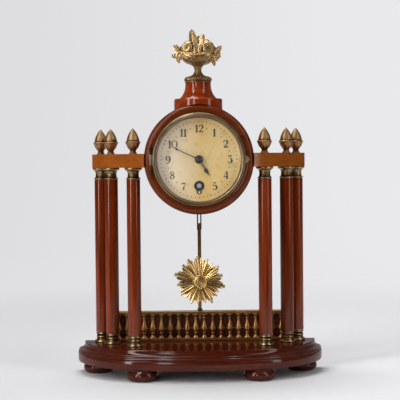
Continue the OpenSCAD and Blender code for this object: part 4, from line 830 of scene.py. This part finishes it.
# Leaves: three places of the spine in mm, wide as leaf_blade takes it, and facing
LEAVES = (
    # upright leaves at the top
    (((-1.5, -1.5, 3.5), (-3.6, -3.0, 11), (-5.7, -1.2, 22.8)), 6.2, (0.15, -1, 0.1)),
    (((-0.6, 0.2, 3.5), (2.2, -0.8, 10.5), (5.4, 0.6, 18.6)), 4.8, (-0.25, -1, 0.1)),
    (((-0.2, 1.2, 5), (-0.4, 0.2, 11), (0.8, 1.6, 16.6)), 3.4, (0, -1, 0)),
    (((0.5, 2.5, 4), (0.2, 4.0, 11), (1.2, 3.2, 17.5)), 5.0, (0, 1, 0.1)),
    (((1.5, 2.0, 4), (4.2, 3.6, 9), (8.0, 3.0, 14.0)), 4.4, (0.2, 1, 0.1)),
    # petals over the roses
    (((-14.2, -4.5, 6.0), (-10.5, -5.2, 10.6), (-4.2, -4.8, 10.8)), 3.6, (-0.3, -0.6, 1)),
    (((-12.0, -1.5, 8.0), (-8.0, -1.8, 12.0), (-3.6, -1.6, 11.5)), 3.4, (-0.2, -0.5, 1)),
    (((4.0, -3.8, 10.2), (8.6, -4.4, 12.0), (13.4, -3.8, 7.4)), 3.8, (0.3, -0.6, 1)),
    (((4.2, -1.0, 11.0), (8.4, -1.4, 13.0), (12.6, -0.6, 9.6)), 3.2, (0.3, -0.4, 1)),
    # blades between the roses
    (((-0.2, -9.6, -1.0), (-1.6, -9.6, 7.5), (-4.6, -3.4, 17.5)), 3.8, (0.2, -1, 0.15)),
    (((0.4, -9.8, -1.0), (1.9, -9.8, 6), (4.6, -3.2, 14.2)), 3.4, (-0.2, -1, 0.15)),
    # outstanding leaves at the sides
    (((-9.5, -2.5, 1.0), (-16.0, -4.0, 2.0), (-21.6, -2.0, 9.0)), 4.4, (-0.3, -1, 0.5)),
    (((-12.5, -1.0, 1.5), (-16.8, -1.5, 4.4), (-19.2, -0.5, 9.6)), 2.6, (-0.4, -1, 0.2)),
    (((9.5, -2.5, 0.8), (15.4, -3.6, 1.8), (21.2, -2.0, 7.8)), 4.6, (0.3, -1, 0.5)),
    (((12.0, -1.5, 1.0), (17.0, -2.2, 0.2), (20.4, -1.8, 1.8)), 3.2, (0.2, -1, 0.6)),
    (((11.0, -3.5, 0.4), (15.6, -4.4, -1.6), (19.0, -3.2, -3.6)), 3.2, (0.2, -1, 0.4)),
    # hanging leaves
    (((-13.0, -3.8, 2.0), (-18.0, -5.4, -0.6), (-16.4, -4.6, -7.8)), 3.6, (-0.3, -1, 0.1)),
    (((-11.5, -5.5, 0.6), (-15.4, -6.6, -1.2), (-14.6, -5.8, -5.0)), 2.6, (-0.2, -1, 0.1)),
    (((9.5, -5.4, 0.8), (13.0, -7.0, -3.4), (14.6, -5.8, -10.6)), 3.8, (0.2, -1, 0)),
    (((11.0, -4.6, 0.4), (15.4, -5.8, -3.0), (17.2, -5.0, -6.0)), 2.6, (0.3, -1, 0.1)),
    # long leaves that sweep under the roses to the middle
    (((-0.6, -11.0, -1.6), (-6.6, -11.6, -0.6), (-13.8, -7.8, 2.4)), 3.8, (-0.1, -1, 0.4)),
    (((-0.4, -10.8, -2.6), (-7.0, -10.8, -3.0), (-14.8, -6.4, -0.6)), 3.4, (-0.1, -1, -0.1)),
    (((0.4, -11.0, -1.6), (6.4, -11.6, -0.4), (13.0, -7.6, 2.2)), 3.8, (0.1, -1, 0.4)),
    (((0.2, -10.8, -2.6), (6.8, -10.8, -3.0), (13.6, -6.6, -1.0)), 3.4, (0.1, -1, -0.1)),
    (((-0.2, -11.2, -2.2), (-0.8, -11.4, -4.4), (-0.4, -9.4, -7.0)), 3.0, (0, -1, 0)),
    # the back
    (((-8.0, 3.5, 1.0), (-15.0, 5.0, 2.0), (-19.6, 3.4, 6.4)), 4.6, (-0.2, 1, 0.4)),
    (((8.0, 3.5, 1.0), (15.0, 5.0, 2.0), (19.4, 3.4, 5.6)), 4.6, (0.2, 1, 0.4)),
    (((-0.4, 11.0, -1.6), (-7.0, 11.2, -1.4), (-13.6, 7.4, 1.0)), 3.8, (0, 1, 0.3)),
    (((0.4, 11.0, -1.6), (7.0, 11.2, -1.4), (13.4, 7.4, 1.0)), 3.8, (0, 1, 0.3)),
)

# Buds: place and radius in mm
BUDS = (((-21, -2.4, -0.8), 2.4), ((-17.4, -3.8, -2), 2.1), ((18.2, -3.4, -1.6), 2.2),
        ((-0.8, -11, -1.9), 2.5), ((15, -5, 1), 1.9), ((-13.6, -5.6, 0.4), 2), ((1.8, -10.4, 0.4), 1.6),
        ((-2.6, -10.2, 1), 1.5))


class CLOCK_OT_flowers(bpy.types.Operator):
    """Casts the flowers on the urn: large roses in front and behind, small ones at the sides, leaves, buds"""
    bl_idname = "clock.flowers"
    bl_label = "Flowers"

    def execute(self, context):
        shape = Shape()
        big = context.scene.clock_sizes.rose_radius / MM

        def at(p):
            """A place given from the middle of the urn's rim."""
            return (URN.x + p[0], URN.y + p[1], URN_RIM + p[2])

        def lobed(way):
            return 1 + 0.1 * math.cos(5 * math.atan2(way.z, way.x)) * (1 - abs(way.y))

        shape.ball(at((0, 0, -1.2)), (15, 10.5, 8.6), lambda way: 1 + 0.05 * noise.noise(way * 5), 40)
        for place, share, facing, turn in ROSES:
            rose_bloom(shape, at(place), big * share, facing, turn)
        for spine, wide, facing in LEAVES:
            leaf_blade(shape, [at(p) for p in spine], wide, facing)
        for place, size in BUDS:
            shape.ball(at(place), (size, size * 0.9, size * 0.95), lobed, 24)
        material = gilt_bronze(context.scene.clock_colours)
        shape.make("flowers_cast", material, "case", ("flower_basket",), hollow=0.42)
        return {"FINISHED"}


# How much bolder the pen is than the strokes below give
PEN = 1.3

# Hour figures as pen strokes: points of (x, y, pen width) in hundredths of the figure's height
FIGURES = {
    "0": [[(0, 96, 4), (-24, 82, 10), (-32, 50, 15), (-24, 18, 10), (0, 4, 4), (24, 18, 10), (32, 50, 15),
          (24, 82, 10), (0, 96, 4)]],
    "1": [[(3, 97, 17), (3, 4, 17)], [(-15, 82, 5), (-4, 87, 7), (3, 97, 10)], [(-15, 3, 6), (21, 3, 6)]],
    "2": [[(-20, 70, 15), (-23, 80, 10), (-5, 95, 7), (16, 88, 14), (22, 70, 17), (10, 45, 10),
          (-22, 10, 6)], [(-24, 7, 13), (2, 10, 13), (26, 5, 15)], [(26, 6, 6), (28, 24, 4)]],
    "3": [[(-22, 95, 10), (22, 95, 10)], [(22, 95, 6), (0, 58, 6)], [(0, 58, 6), (16, 52, 11),
          (24, 30, 18), (12, 8, 10), (-8, 4, 7), (-22, 16, 13)], [(-22, 95, 5), (-23, 78, 5)]],
    "4": [[(13, 97, 15), (13, 4, 15)], [(11, 97, 5), (-28, 28, 5)], [(-30, 27, 8), (30, 27, 8)],
          [(-2, 3, 6), (28, 3, 6)]],
    "5": [[(20, 92, 13), (-2, 95, 10), (-16, 92, 6)], [(-17, 93, 5), (-18, 50, 5)], [(-18, 50, 5),
          (2, 62, 9), (22, 50, 15), (24, 28, 18), (10, 7, 9), (-10, 4, 7), (-22, 17, 13)]],
    "6": [[(18, 86, 12), (6, 95, 6), (-13, 84, 10), (-23, 55, 17), (-24, 30, 18), (-10, 6, 9), (6, 5, 7),
          (22, 22, 15), (20, 44, 14), (4, 56, 6), (-16, 46, 6)]],
    "7": [[(-24, 92, 14), (0, 89, 12), (24, 93, 10)], [(24, 93, 5), (10, 60, 8), (0, 35, 14), (-3, 6, 18)],
          [(-25, 92, 5), (-26, 75, 4)]],
    "8": [[(0, 96, 6), (-18, 84, 12), (-12, 62, 14), (12, 46, 14), (24, 24, 12), (0, 4, 6), (-24, 22, 13),
          (-12, 45, 7), (12, 60, 7), (18, 80, 11), (0, 96, 6)]],
    "9": [[(-18, 14, 12), (-6, 5, 6), (13, 16, 10), (23, 45, 17), (24, 70, 18), (10, 94, 9), (-6, 95, 7),
          (-22, 78, 15), (-20, 56, 14), (-4, 44, 6), (16, 54, 6)]],
}


def pen_stroke(shape, points, x, z, scale):
    """One stroke of a figure as a thin ribbon that stands on the dial."""
    relief = 0.05
    points = [[value / 100 for value in point] for point in points]
    path = curve_through(points, 7) if len(points) > 2 else [np.array(p) for p in points]
    rings = []
    last = len(path) - 1
    for i, (px, pz, wide) in enumerate(path):
        way = path[min(last, i + 1)][:2] - path[max(0, i - 1)][:2]
        way = way / max(1e-6, np.hypot(*way))
        side = np.array((-way[1], way[0])) * wide * PEN / 2
        ax, az = x + (px + side[0]) * scale, z + (pz + side[1]) * scale
        bx, bz = x + (px - side[0]) * scale, z + (pz - side[1]) * scale
        front, back = DIAL_FACE - relief, DIAL_FACE + relief
        rings.append([(ax, front, az), (bx, front, bz), (bx, back, bz), (ax, back, az)])
    shape.skin(rings)


class CLOCK_OT_dial(bpy.types.Operator):
    """Paints the dial and sets its hour figures, half-hour dots and minute dots; blacks the hands and nuts"""
    bl_idname = "clock.dial"
    bl_label = "Dial and hands"

    def execute(self, context):
        dress("dial_paint", finish("Cream_dial_paint", dial_paint, context.scene.clock_colours))
        dress("black_enamel", finish("Black_enamel", black_enamel))
        self.figures(context.scene.clock_sizes)
        self.dots()
        return {"FINISHED"}

    def figures(self, sizes):
        tall = sizes.numeral_height / MM
        circle = sizes.numeral_radius / MM
        shape = Shape()
        for hour in range(1, 13):
            a = math.radians(30 * hour)
            text = str(hour)
            advance = {"10": 0.62, "11": 0.44, "12": 0.56}.get(text, 0)
            middle = DIAL.x + circle * math.sin(a)
            foot = DIAL.z + circle * math.cos(a) - tall / 2
            for n, figure in enumerate(text):
                shift = (n - (len(text) - 1) / 2) * advance * tall
                for stroke in FIGURES[figure]:
                    pen_stroke(shape, stroke, middle + shift, foot, tall)
        shape.make("hour_figures", finish("Dial_ink", dial_ink), "case", crease=30)

    def dots(self):
        """Dots for the minutes, larger at the hours, and on a smaller circle for the half hours."""
        minutes = [(6 * minute, 33.4, 0.5 if minute % 5 == 0 else 0.42) for minute in range(60)]
        # None where the winding hole takes the place
        halves = [(30 * hour + 15, 28, 0.52) for hour in range(12) if hour not in (5, 6)]
        shape = Shape()
        for degrees, circle, r in minutes + halves:
            a = math.radians(degrees)
            place = (DIAL.x + circle * math.sin(a), DIAL_FACE, DIAL.z + circle * math.cos(a))
            shape.turn([(r * 0.9, 0.03), (r, 0), (r * 0.85, -0.05)], place, 12, "Y")
        shape.make("minute_dots", finish("Dial_dot_ink", dial_dot_ink), "case", crease=30)


class CLOCK_OT_bezel(bpy.types.Operator):
    """Turns the bezel with its hinge knuckle and thumb lug, and clears the glass"""
    bl_idname = "clock.bezel"
    bl_label = "Bezel and glass"

    def execute(self, context):
        # Spun brass, polished then left: pale gold on the crown; brown patina with painted shade at the wood
        # and in the groove
        brass = finish("Bezel_brass", aged_metal, "#a0886a", "#685038", "#33251a", 0.32, patch=16, wear=0.9)
        dress("bezel_brass", brass)
        dress("glass", finish("Clock_glass", crystal))
        # No cloth reaches the hinge, so it has gone brown
        browned = finish("Hinge_brass_browned", aged_metal, "#8a6444", "#5a3c27", "#2a1a10", 0.45, patch=5)
        paint(("hinge_leaf", "hinge_pin"), browned)
        shape = Shape()
        self.rim(shape)
        self.knuckle(shape)
        self.lug(shape)
        shape.make("bezel_turned", brass, "door", ("bezel",), hollow=0.5)
        return {"FINISHED"}

    def rim(self, shape):
        """The turned ring, with a groove inside its crown."""
        front, back = BEZEL_FRONT, RING_FRONT
        outline = bulged([(39.5, back - 0.05), (39.5, front + 0.85), (37.9, front + 0.8), (37.9, front + 0.5),
                          (38.15, front + 0.15), (38.6, front), (39.0, front + 0.02), (39.15, front + 0.3),
                          (39.35, front + 0.3), (39.5, front + 0.05), (40.35, front + 0.6, -0.15),
                          (40.95, front + 2.0, -0.12), (41.0, back - 0.6), (40.7, back - 0.05)], 4)
        shape.turn(outline, (DIAL.x, 0, DIAL.z), 160, "Y", loop=True)

    def knuckle(self, shape):
        """The hinge's barrel at the left, and the tab that joins it to the ring."""
        x = span("bezel")[0].x + 1.1
        y = RING_FRONT - 1.15
        half = 4.6
        barrel = [(0.6, -half), (1, -half), (1.1, -half + 0.15), (1.1, half - 0.15), (1, half), (0.6, half)]
        shape.turn(barrel, (x, y, DIAL.z), 24, "Z", loop=True)
        shape.box((x + 0.7, y - 0.7, DIAL.z - half + 0.1), (x + 2.6, y + 0.7, DIAL.z + half - 0.1))

    def lug(self, shape):
        """The thumb lug at the right, narrower and thinner towards its tip."""
        back = RING_FRONT
        tip = span("bezel")[1].x
        rings = []
        for x, half, proud in ((39.9, 4.5, 3), (tip - 0.9, 1.3, 0.8), (tip - 0.3, 0.8, 0.5), (tip, 0.4, 0.3)):
            top = back - proud
            section = ((back, -half), (top + 0.2, -half), (top, -half * 0.7), (top, half * 0.7),
                       (top + 0.2, half), (back, half))
            rings.append([(DIAL.x + x, y, DIAL.z + z) for y, z in section])
        shape.skin(rings)


class CLOCK_OT_pendulum(bpy.types.Operator):
    """Stamps the sunburst bob: clusters of ridged rays round a ringed boss, on its slider"""
    bl_idname = "clock.pendulum"
    bl_label = "Pendulum"

    def execute(self, context):
        # Strip brass gone brown
        dress("rod_brass", finish("Rod_brass", aged_metal, "#a27a4c", "#6b4a2a", "#2f2013", 0.35, patch=8))
        # Thin stamped brass, lacquered: brighter and yellower than the castings
        brass = finish("Stamped_brass", aged_metal, context.scene.clock_colours.brass, "#98723c", "#432c12",
                       0.33, patch=12, wear=1.2)
        # The backing behind the rays is darker brass: painted shade that shows as dark lines between the rays
        sunk = finish("Stamped_brass_painted_shade", aged_metal, "#7c5832", "#4a3019", "#1c1008", 0.5)
        shape = Shape()
        backing = Shape()
        self.rays(shape, backing)
        plate = [(0.3, 0.9), (4.6, 0.9), (4.8, 0.75), (4.6, 0.6), (0.3, 0.6)]
        backing.turn(plate, BOB, 64, "Y")
        backing.make("bob_backing", sunk, "bob")
        self.boss(shape)
        self.slider(shape)
        shape.make("bob_sunburst", brass, "bob", ("pendulum_bob",), crease=24, hollow=0.35)
        return {"FINISHED"}

    def rays(self, shape, backing):
        """Three roof-shaped rays to each tip of the star, and a flat ray of the backing behind them."""
        # Angle in degrees, counted up from the right, and reach in mm
        tips = [(16, 21.6), (40, 22.6), (55, 20.5), (71, 22), (94, 23.9), (117, 23.3), (135, 22), (162, 24),
                (186, 20.8), (214, 20.9), (227, 18.8), (247, 21), (265, 19.4), (285, 19.5), (301, 22.1),
                (321, 20.1), (333, 19.5), (349, 23.2)]
        around = [(tips[-1][0] - 360, 0), *tips, (tips[0][0] + 360, 0)]
        for (before, _), (angle, reach), (after, _) in zip(around, around[1:], around[2:]):
            low = (before + angle) / 2
            high = (angle + after) / 2
            wide = (high - low) / 5
            for first, last, ends in ((low, angle - wide, (0.8, 0.9, 0.93)),
                                      (angle - wide, angle + wide, (1, 1, 1)),
                                      (angle + wide, high, (0.94, 0.89, 0.81))):
                slack = 0.11 * (last - first)
                self.ray(shape, (first + slack, last - slack), [reach * end for end in ends], 0.25, 0.42)
            self.ray(backing, (low, high), (reach * 0.78, reach * 0.95, reach * 0.79), 0.55, 0)

    def ray(self, shape, angles, ends, set_back, relief):
        """A roof-shaped ray between two angles; ends are the radii where its edges and its ridge stop."""
        start = 3.0
        thick = Vector((0, 0.45, 0))
        places = (angles[0], (angles[0] + angles[1]) / 2, angles[1])
        rings = []
        for share in (0, 0.35, 0.7, 0.95, 1):
            points = []
            for degrees, end in zip(places, ends):
                r = start + (end - start) * share
                points.append(Vector((BOB.x + r * math.cos(math.radians(degrees)), BOB.y + set_back,
                                      BOB.z + r * math.sin(math.radians(degrees)))))
            ridge = points[1] - Vector((0, relief * (1 if share < 1 else 0.5) * min(1, share + 0.4), 0))
            rings.append([points[0], ridge, points[2], points[2] + thick, points[0] + thick])
        shape.skin(rings)

    def boss(self, shape):
        """A beaded ring with a rosette in it."""
        rope = [(5.7, 0.5), (5.5, -0.3), (5.7, -0.6), (6.1, -0.7), (6.4, -0.5), (6.5, -0.2), (6.4, 0.5)]
        rosette = [(0.25, 0.7), (5.6, 0.7), (5.6, 0.1), (4.9, -0.05), (4.3, -0.35), (3.7, -0.4), (3.3, -0.1),
                   (3, -0.1), (2.6, -0.45), (2, -0.55), (1.6, -0.3), (1.2, -0.3), (0.9, -0.6), (0.25, -0.7)]

        def beaded(a, radius, height):
            return radius * (1 + 0.02 * math.cos(30 * a))

        shape.turn(rope, BOB, 120, "Y", beaded, loop=True)
        shape.turn(rosette, BOB, 64, "Y")

    def slider(self, shape):
        """Bridges that run on the rod, and the tongue that sits on the rating nut."""
        nut = span("rating_nut")[1].z
        rod_y = centre_of("rating_nut").y
        half = 3.0
        wall = 0.9
        y0 = BOB.y + 0.4
        y1 = rod_y + 1.6
        for z in (BOB.z - 12, BOB.z + 8):
            shape.box((-half, y0, z), (-half + wall, y1, z + 4))
            shape.box((half - wall, y0, z), (half, y1, z + 4))
            shape.box((-half, y1 - 0.75, z), (half, y1, z + 4))
        shape.box((-1.5, rod_y + 1.45, nut + 0.15), (1.5, rod_y + 2.2, BOB.z - 8))


class CLOCK_OT_movement(bpy.types.Operator):
    """Finishes the movement's brass and steel, the back cover and the screws"""
    bl_idname = "clock.movement"
    bl_label = "Movement"

    def execute(self, context):
        brass = finish("Movement_brass", turned_metal, "#d9b56a", "#bd9650", 0.3)
        dress("movement_brass", brass)
        dress("screw_brass", brass)
        dress("cover_brass", finish("Cover_brass", turned_metal, "#c9a465", "#9c7a45", 0.38, pitch=1.2))
        dress("steel", finish("Steel_bright", brushed_steel))
        # The ratchet work behind the winding hole is near-black steel: painted shade for the dark inside of
        # the hole
        shade_dark_steel = finish("Steel_painted_shade", aged_metal, "#3a3b3d", "#232323", "#120f0c", 0.3, patch=5)
        paint(("ratchet_wheel", "click"), shade_dark_steel)
        return {"FINISHED"}


class CLOCK_OT_stage(bpy.types.Operator):
    """Sets the pale sweep, the soft lights and the camera"""
    bl_idname = "clock.stage"
    bl_label = "Stage"

    def execute(self, context):
        scene = context.scene
        scene.view_settings.view_transform = "Standard"
        self.sweep()
        self.world(scene)
        # Place, width and height in metres, then watts
        self.lamp("Key_softbox", (-1.2, -1.08, 1.0), 0.32, 2.2, 24.5)
        self.lamp("Fill_softbox", (1.35, -1.0, 1.0), 0.4, 2.2, 11.5)
        self.lamp("Front_softbox", (-0.6, -1.6, 0.55), 0.25, 0.7, 4)
        self.lamp("Top_softbox", (-0.2, 0.42, 1.85), 1.2, 0.8, 24)
        self.camera(scene)
        return {"FINISHED"}

    def sweep(self):
        """Floor that starts half a metre in front of the clock and curves up into a wall far behind."""
        start, bend, bend_r, side, thick = -520, 1500, 900, 3500, 60
        line = [(start, 0), (bend, 0)]
        line += [(bend + bend_r * math.sin(a), bend_r - bend_r * math.cos(a))
                 for a in np.linspace(0, math.pi / 2, 20)[1:]]
        line.append((bend + bend_r, 3500))
        under = [(y + thick, z - thick) for y, z in reversed(line)]
        shape = Shape()
        shape.skin([[(x, y, z) for y, z in line + under] for x in (-side, side)])
        shape.built("Sweep", finish("Backdrop_paper", backdrop_paper), 40)

    def world(self, scene):
        """A plain room, light behind the clock and nearly dark towards the camera; the camera itself sees an
        even pale tone in its place, also through glass."""
        scene.world = bpy.data.worlds.new("Studio")
        nodes = Nodes(scene.world, "OutputWorld")
        depth = nodes.spread(nodes.part(nodes.place("Generated"), "Y"), (-0.1, 0.9), (0.03, 0.6),
                             interpolation_type="SMOOTHSTEP")
        room = nodes.add("Background", {"Color": rgba("#fafaff"), "Strength": depth})
        seen = nodes.add("Background", {"Color": rgba("#e4e4e6"), "Strength": 1.0})
        nodes.surface(nodes.blend(nodes.rays("Camera", "Transmission"), room, seen))

    def lamp(self, name, place, wide, tall, power):
        """A softbox that looks at the middle of the clock."""
        light = bpy.data.lights.new(name, "AREA")
        light.shape = "RECTANGLE"
        light.size = wide
        light.size_y = tall
        light.energy = power
        lamp = bpy.data.objects.new(name, light)
        lamp.location = place
        lamp.rotation_euler = (Vector((0, 0, 0.15)) - Vector(place)).to_track_quat("-Z", "Y").to_euler()
        bpy.context.scene.collection.objects.link(lamp)

    def camera(self, scene):
        """The photograph's viewpoint: a little left of centre, level with the dial, about 1.1 m away."""
        data = bpy.data.cameras.new("Camera")
        data.sensor_width = 36
        data.lens = 115.11
        camera = bpy.data.objects.new("Camera", data)
        place = Vector((-12.61057, -1135.93048, 189.5)) * MM
        # Degrees by which the view is turned to the right, tipped up and rolled to the left
        pan, tilt, roll = (math.radians(degrees) for degrees in (0.67, -1.66, -0.53))
        camera.matrix_world = (Matrix.Translation(place) @ Matrix.Rotation(-pan, 4, "Z")
                               @ Matrix.Rotation(math.pi / 2 + tilt, 4, "X") @ Matrix.Rotation(roll, 4, "Z"))
        scene.collection.objects.link(camera)
        scene.camera = camera


class CLOCK_PT_panel(bpy.types.Panel):
    """Lists the clock's pieces in the sidebar"""
    bl_idname = "CLOCK_PT_panel"
    bl_label = "Mantel clock"
    bl_space_type = "VIEW_3D"
    bl_region_type = "UI"
    bl_category = "Clock"

    def draw(self, context):
        scene = context.scene
        for group in (scene.clock_colours, scene.clock_sizes):
            column = self.layout.column()
            for name in group.__annotations__:
                column.prop(group, name)
        for operator in PIECES:
            self.layout.operator(operator.bl_idname)


PIECES = (CLOCK_OT_woodwork, CLOCK_OT_fittings, CLOCK_OT_gallery, CLOCK_OT_urn,
          CLOCK_OT_flowers, CLOCK_OT_dial, CLOCK_OT_bezel, CLOCK_OT_pendulum,
          CLOCK_OT_movement, CLOCK_OT_stage)
CLASSES = (ClockColours, ClockSizes, *PIECES, CLOCK_PT_panel)


def register():
    for cls in CLASSES:
        bpy.utils.register_class(cls)
    bpy.types.Scene.clock_colours = PointerProperty(type=ClockColours)
    bpy.types.Scene.clock_sizes = PointerProperty(type=ClockSizes)


def unregister():
    del bpy.types.Scene.clock_colours
    del bpy.types.Scene.clock_sizes
    for cls in reversed(CLASSES):
        bpy.utils.unregister_class(cls)


def main():
    """Builds every piece in turn."""
    register()
    bpy.ops.clock.stage()
    bpy.ops.clock.woodwork()
    bpy.ops.clock.fittings()
    bpy.ops.clock.gallery()
    bpy.ops.clock.urn()
    bpy.ops.clock.flowers()
    bpy.ops.clock.dial()
    bpy.ops.clock.bezel()
    bpy.ops.clock.pendulum()
    bpy.ops.clock.movement()


if __name__ == "__main__":
    main()
